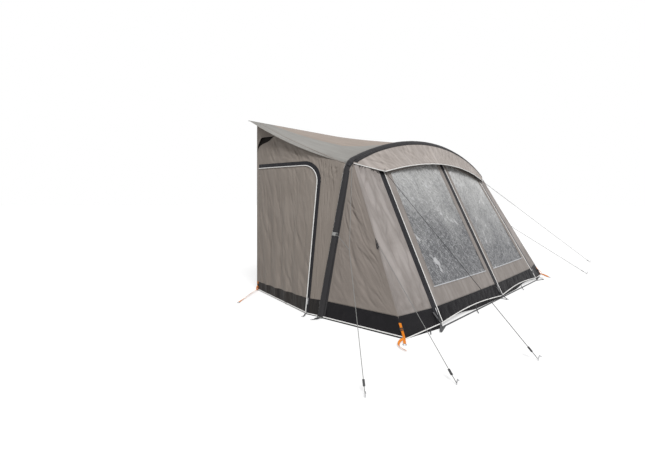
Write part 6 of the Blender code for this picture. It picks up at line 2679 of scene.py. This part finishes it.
def make_guys(shop: Workshop) -> None:
    """Make the five guy lines and the branch that ties the shoulder line to the leg's band."""
    for guy in GUYS:
        guy.build(shop)
    radius = GUYS[0].radius
    start, fork = (Vector(p) + Vector((0, shop.lines.corner_y, 0)) for p in (LEG_BAND, FORK))
    near = fork + (start - fork).normalized() * (radius * 2 + BRANCH_GAP)
    points = resampled([start, near], 0.04)
    cord = tube("cord_branch", points, radius, shop.finish["cord"], sides=10)
    shop.keep(cord, "guy_braid", "guy_branch")
    axis = (near - start).normalized()
    side = axis.orthogonal().normalized()
    other = axis.cross(side)
    knot = [near - axis * (KNOT_GAP + KNOT_LENGTH * k / 60)
            + (side * math.cos(turn) + other * math.sin(turn)) * KNOT_RADIUS
            for k, turn in enumerate(2 * math.pi * k / 12 for k in range(60))]
    tie = shop.keep(tube("fork_knot", knot, KNOT_CORD, shop.finish["cord"]), "guy_braid")
    hand_in(points)


@dataclass(frozen=True)
class Studio:
    """The camera, the key light, the sky and the floor."""

    eye: Place = (-4.8852, -2.9820, 1.2587)
    turn: float = math.radians(-43.713)
    lens: float = 19.79
    shift_y: float = -0.0472
    sun: float = 2.1
    sky: float = 0.42
    sun_angle: float = math.radians(24)
    sun_way: Place = (0.33, 0.52, -0.79)
    floor_colour: float = 0.55
    floor_lift: float = 0.55
    floor_half: float = 120.0
    floor_height: float = -0.0005

    def build(self) -> None:
        """Set the scene up."""
        data = bpy.data.cameras.new("camera")
        data.lens, data.sensor_width, data.shift_y = self.lens, 36.0, self.shift_y
        data.clip_end = 500.0
        camera = linked("camera", data)
        camera.location = self.eye
        camera.rotation_euler = (math.pi / 2, 0.0, self.turn)
        bpy.context.scene.camera = camera
        self._lamp()
        self._sky()
        self._floor()
        bpy.context.scene.view_settings.view_transform = "Standard"

    def _lamp(self) -> None:
        """Hang a broad soft key light in front, to the left and above."""
        data = bpy.data.lights.new("key", "SUN")
        data.energy, data.angle = self.sun, self.sun_angle
        linked("key", data).rotation_euler = Vector(self.sun_way).to_track_quat("-Z", "Y").to_euler()

    def _sky(self) -> None:
        """Light from all round, with a white background to look at."""
        world = bpy.data.worlds.new("sky")
        bpy.context.scene.world = world
        world.use_nodes = True
        tree = world.node_tree
        light = tree.nodes["Background"]
        light.inputs["Strength"].default_value = self.sky
        plain = tree.nodes.new("ShaderNodeBackground")
        for node in (light, plain):
            node.inputs["Color"].default_value = (1, 1, 1, 1)
        seen = fed_node(tree, "ShaderNodeMixShader", seen_directly(tree), light.outputs[0], plain.outputs[0])
        tree.links.new(seen, tree.nodes["World Output"].inputs[0])

    def _floor(self) -> None:
        """Lay a white floor that keeps the object's shadow."""
        mesh = bpy.data.meshes.new("floor")
        reach = self.floor_half
        corners = [(a * reach, b * reach, self.floor_height) for a, b in ((-1, -1), (1, -1), (1, 1), (-1, 1))]
        mesh.from_pydata(corners, [], [(0, 1, 2, 3)])
        material = bpy.data.materials.new("floor_white")
        material.use_nodes = True
        tree = material.node_tree
        shader = tree.nodes["Principled BSDF"]
        shader.inputs["Base Color"].default_value = (*[self.floor_colour] * 3, 1)
        shader.inputs["Roughness"].default_value = 0.9
        shader.inputs["Specular IOR Level"].default_value = 0.1
        off, glow = (tree.nodes.new("ShaderNodeEmission") for _ in range(2))
        off.inputs["Strength"].default_value = 0.0
        glow.inputs["Strength"].default_value = self.floor_lift
        seen = fed_node(tree, "ShaderNodeMixShader", seen_directly(tree), off.outputs[0], glow.outputs[0])
        both = fed_node(tree, "ShaderNodeAddShader", shader.outputs[0], seen)
        tree.links.new(both, tree.nodes["Material Output"].inputs[0])
        mesh.materials.append(material)
        linked("floor", mesh)


def linked(name: str, data: bpy.types.ID) -> bpy.types.Object:
    """Put an object with this data into the scene."""
    made = bpy.data.objects.new(name, data)
    bpy.context.scene.collection.objects.link(made)
    return made


def fed_node(tree: bpy.types.NodeTree, kind: str, *sources: bpy.types.NodeSocket) -> bpy.types.NodeSocket:
    """Add a node with sockets linked to its inputs in order, and return its output.

    Args:
        tree: the node tree.
        kind: the node's type.
        sources: the sockets.

    Returns:
        The node's first output.
    """
    node = tree.nodes.new(kind)
    for source, socket in zip(sources, node.inputs):
        tree.links.new(source, socket)
    return node.outputs[0]


def seen_directly(tree: bpy.types.NodeTree) -> bpy.types.NodeSocket:
    """Return a socket that is 1 for what the camera, a reflection or a clear film shows."""
    path = tree.nodes.new("ShaderNodeLightPath")
    value = path.outputs["Is Camera Ray"]
    for name in ("Is Glossy Ray", "Is Transmission Ray"):
        value = fed_node(tree, "ShaderNodeMath", value, path.outputs[name])
        value.node.operation = "MAXIMUM"
    return value


def main() -> None:
    """Build the awning's visible pieces in order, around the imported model."""
    logging.basicConfig(level=logging.INFO, format="%(message)s")
    shop = Workshop()
    Studio().build()
    make_guys(shop)
    Beam(shop).build()
    Roof(shop).build()
    Front(shop).build()
    for side in Side:
        Sides(shop, side).build()
    Straps(shop).build()


if __name__ == "__main__":
    main()
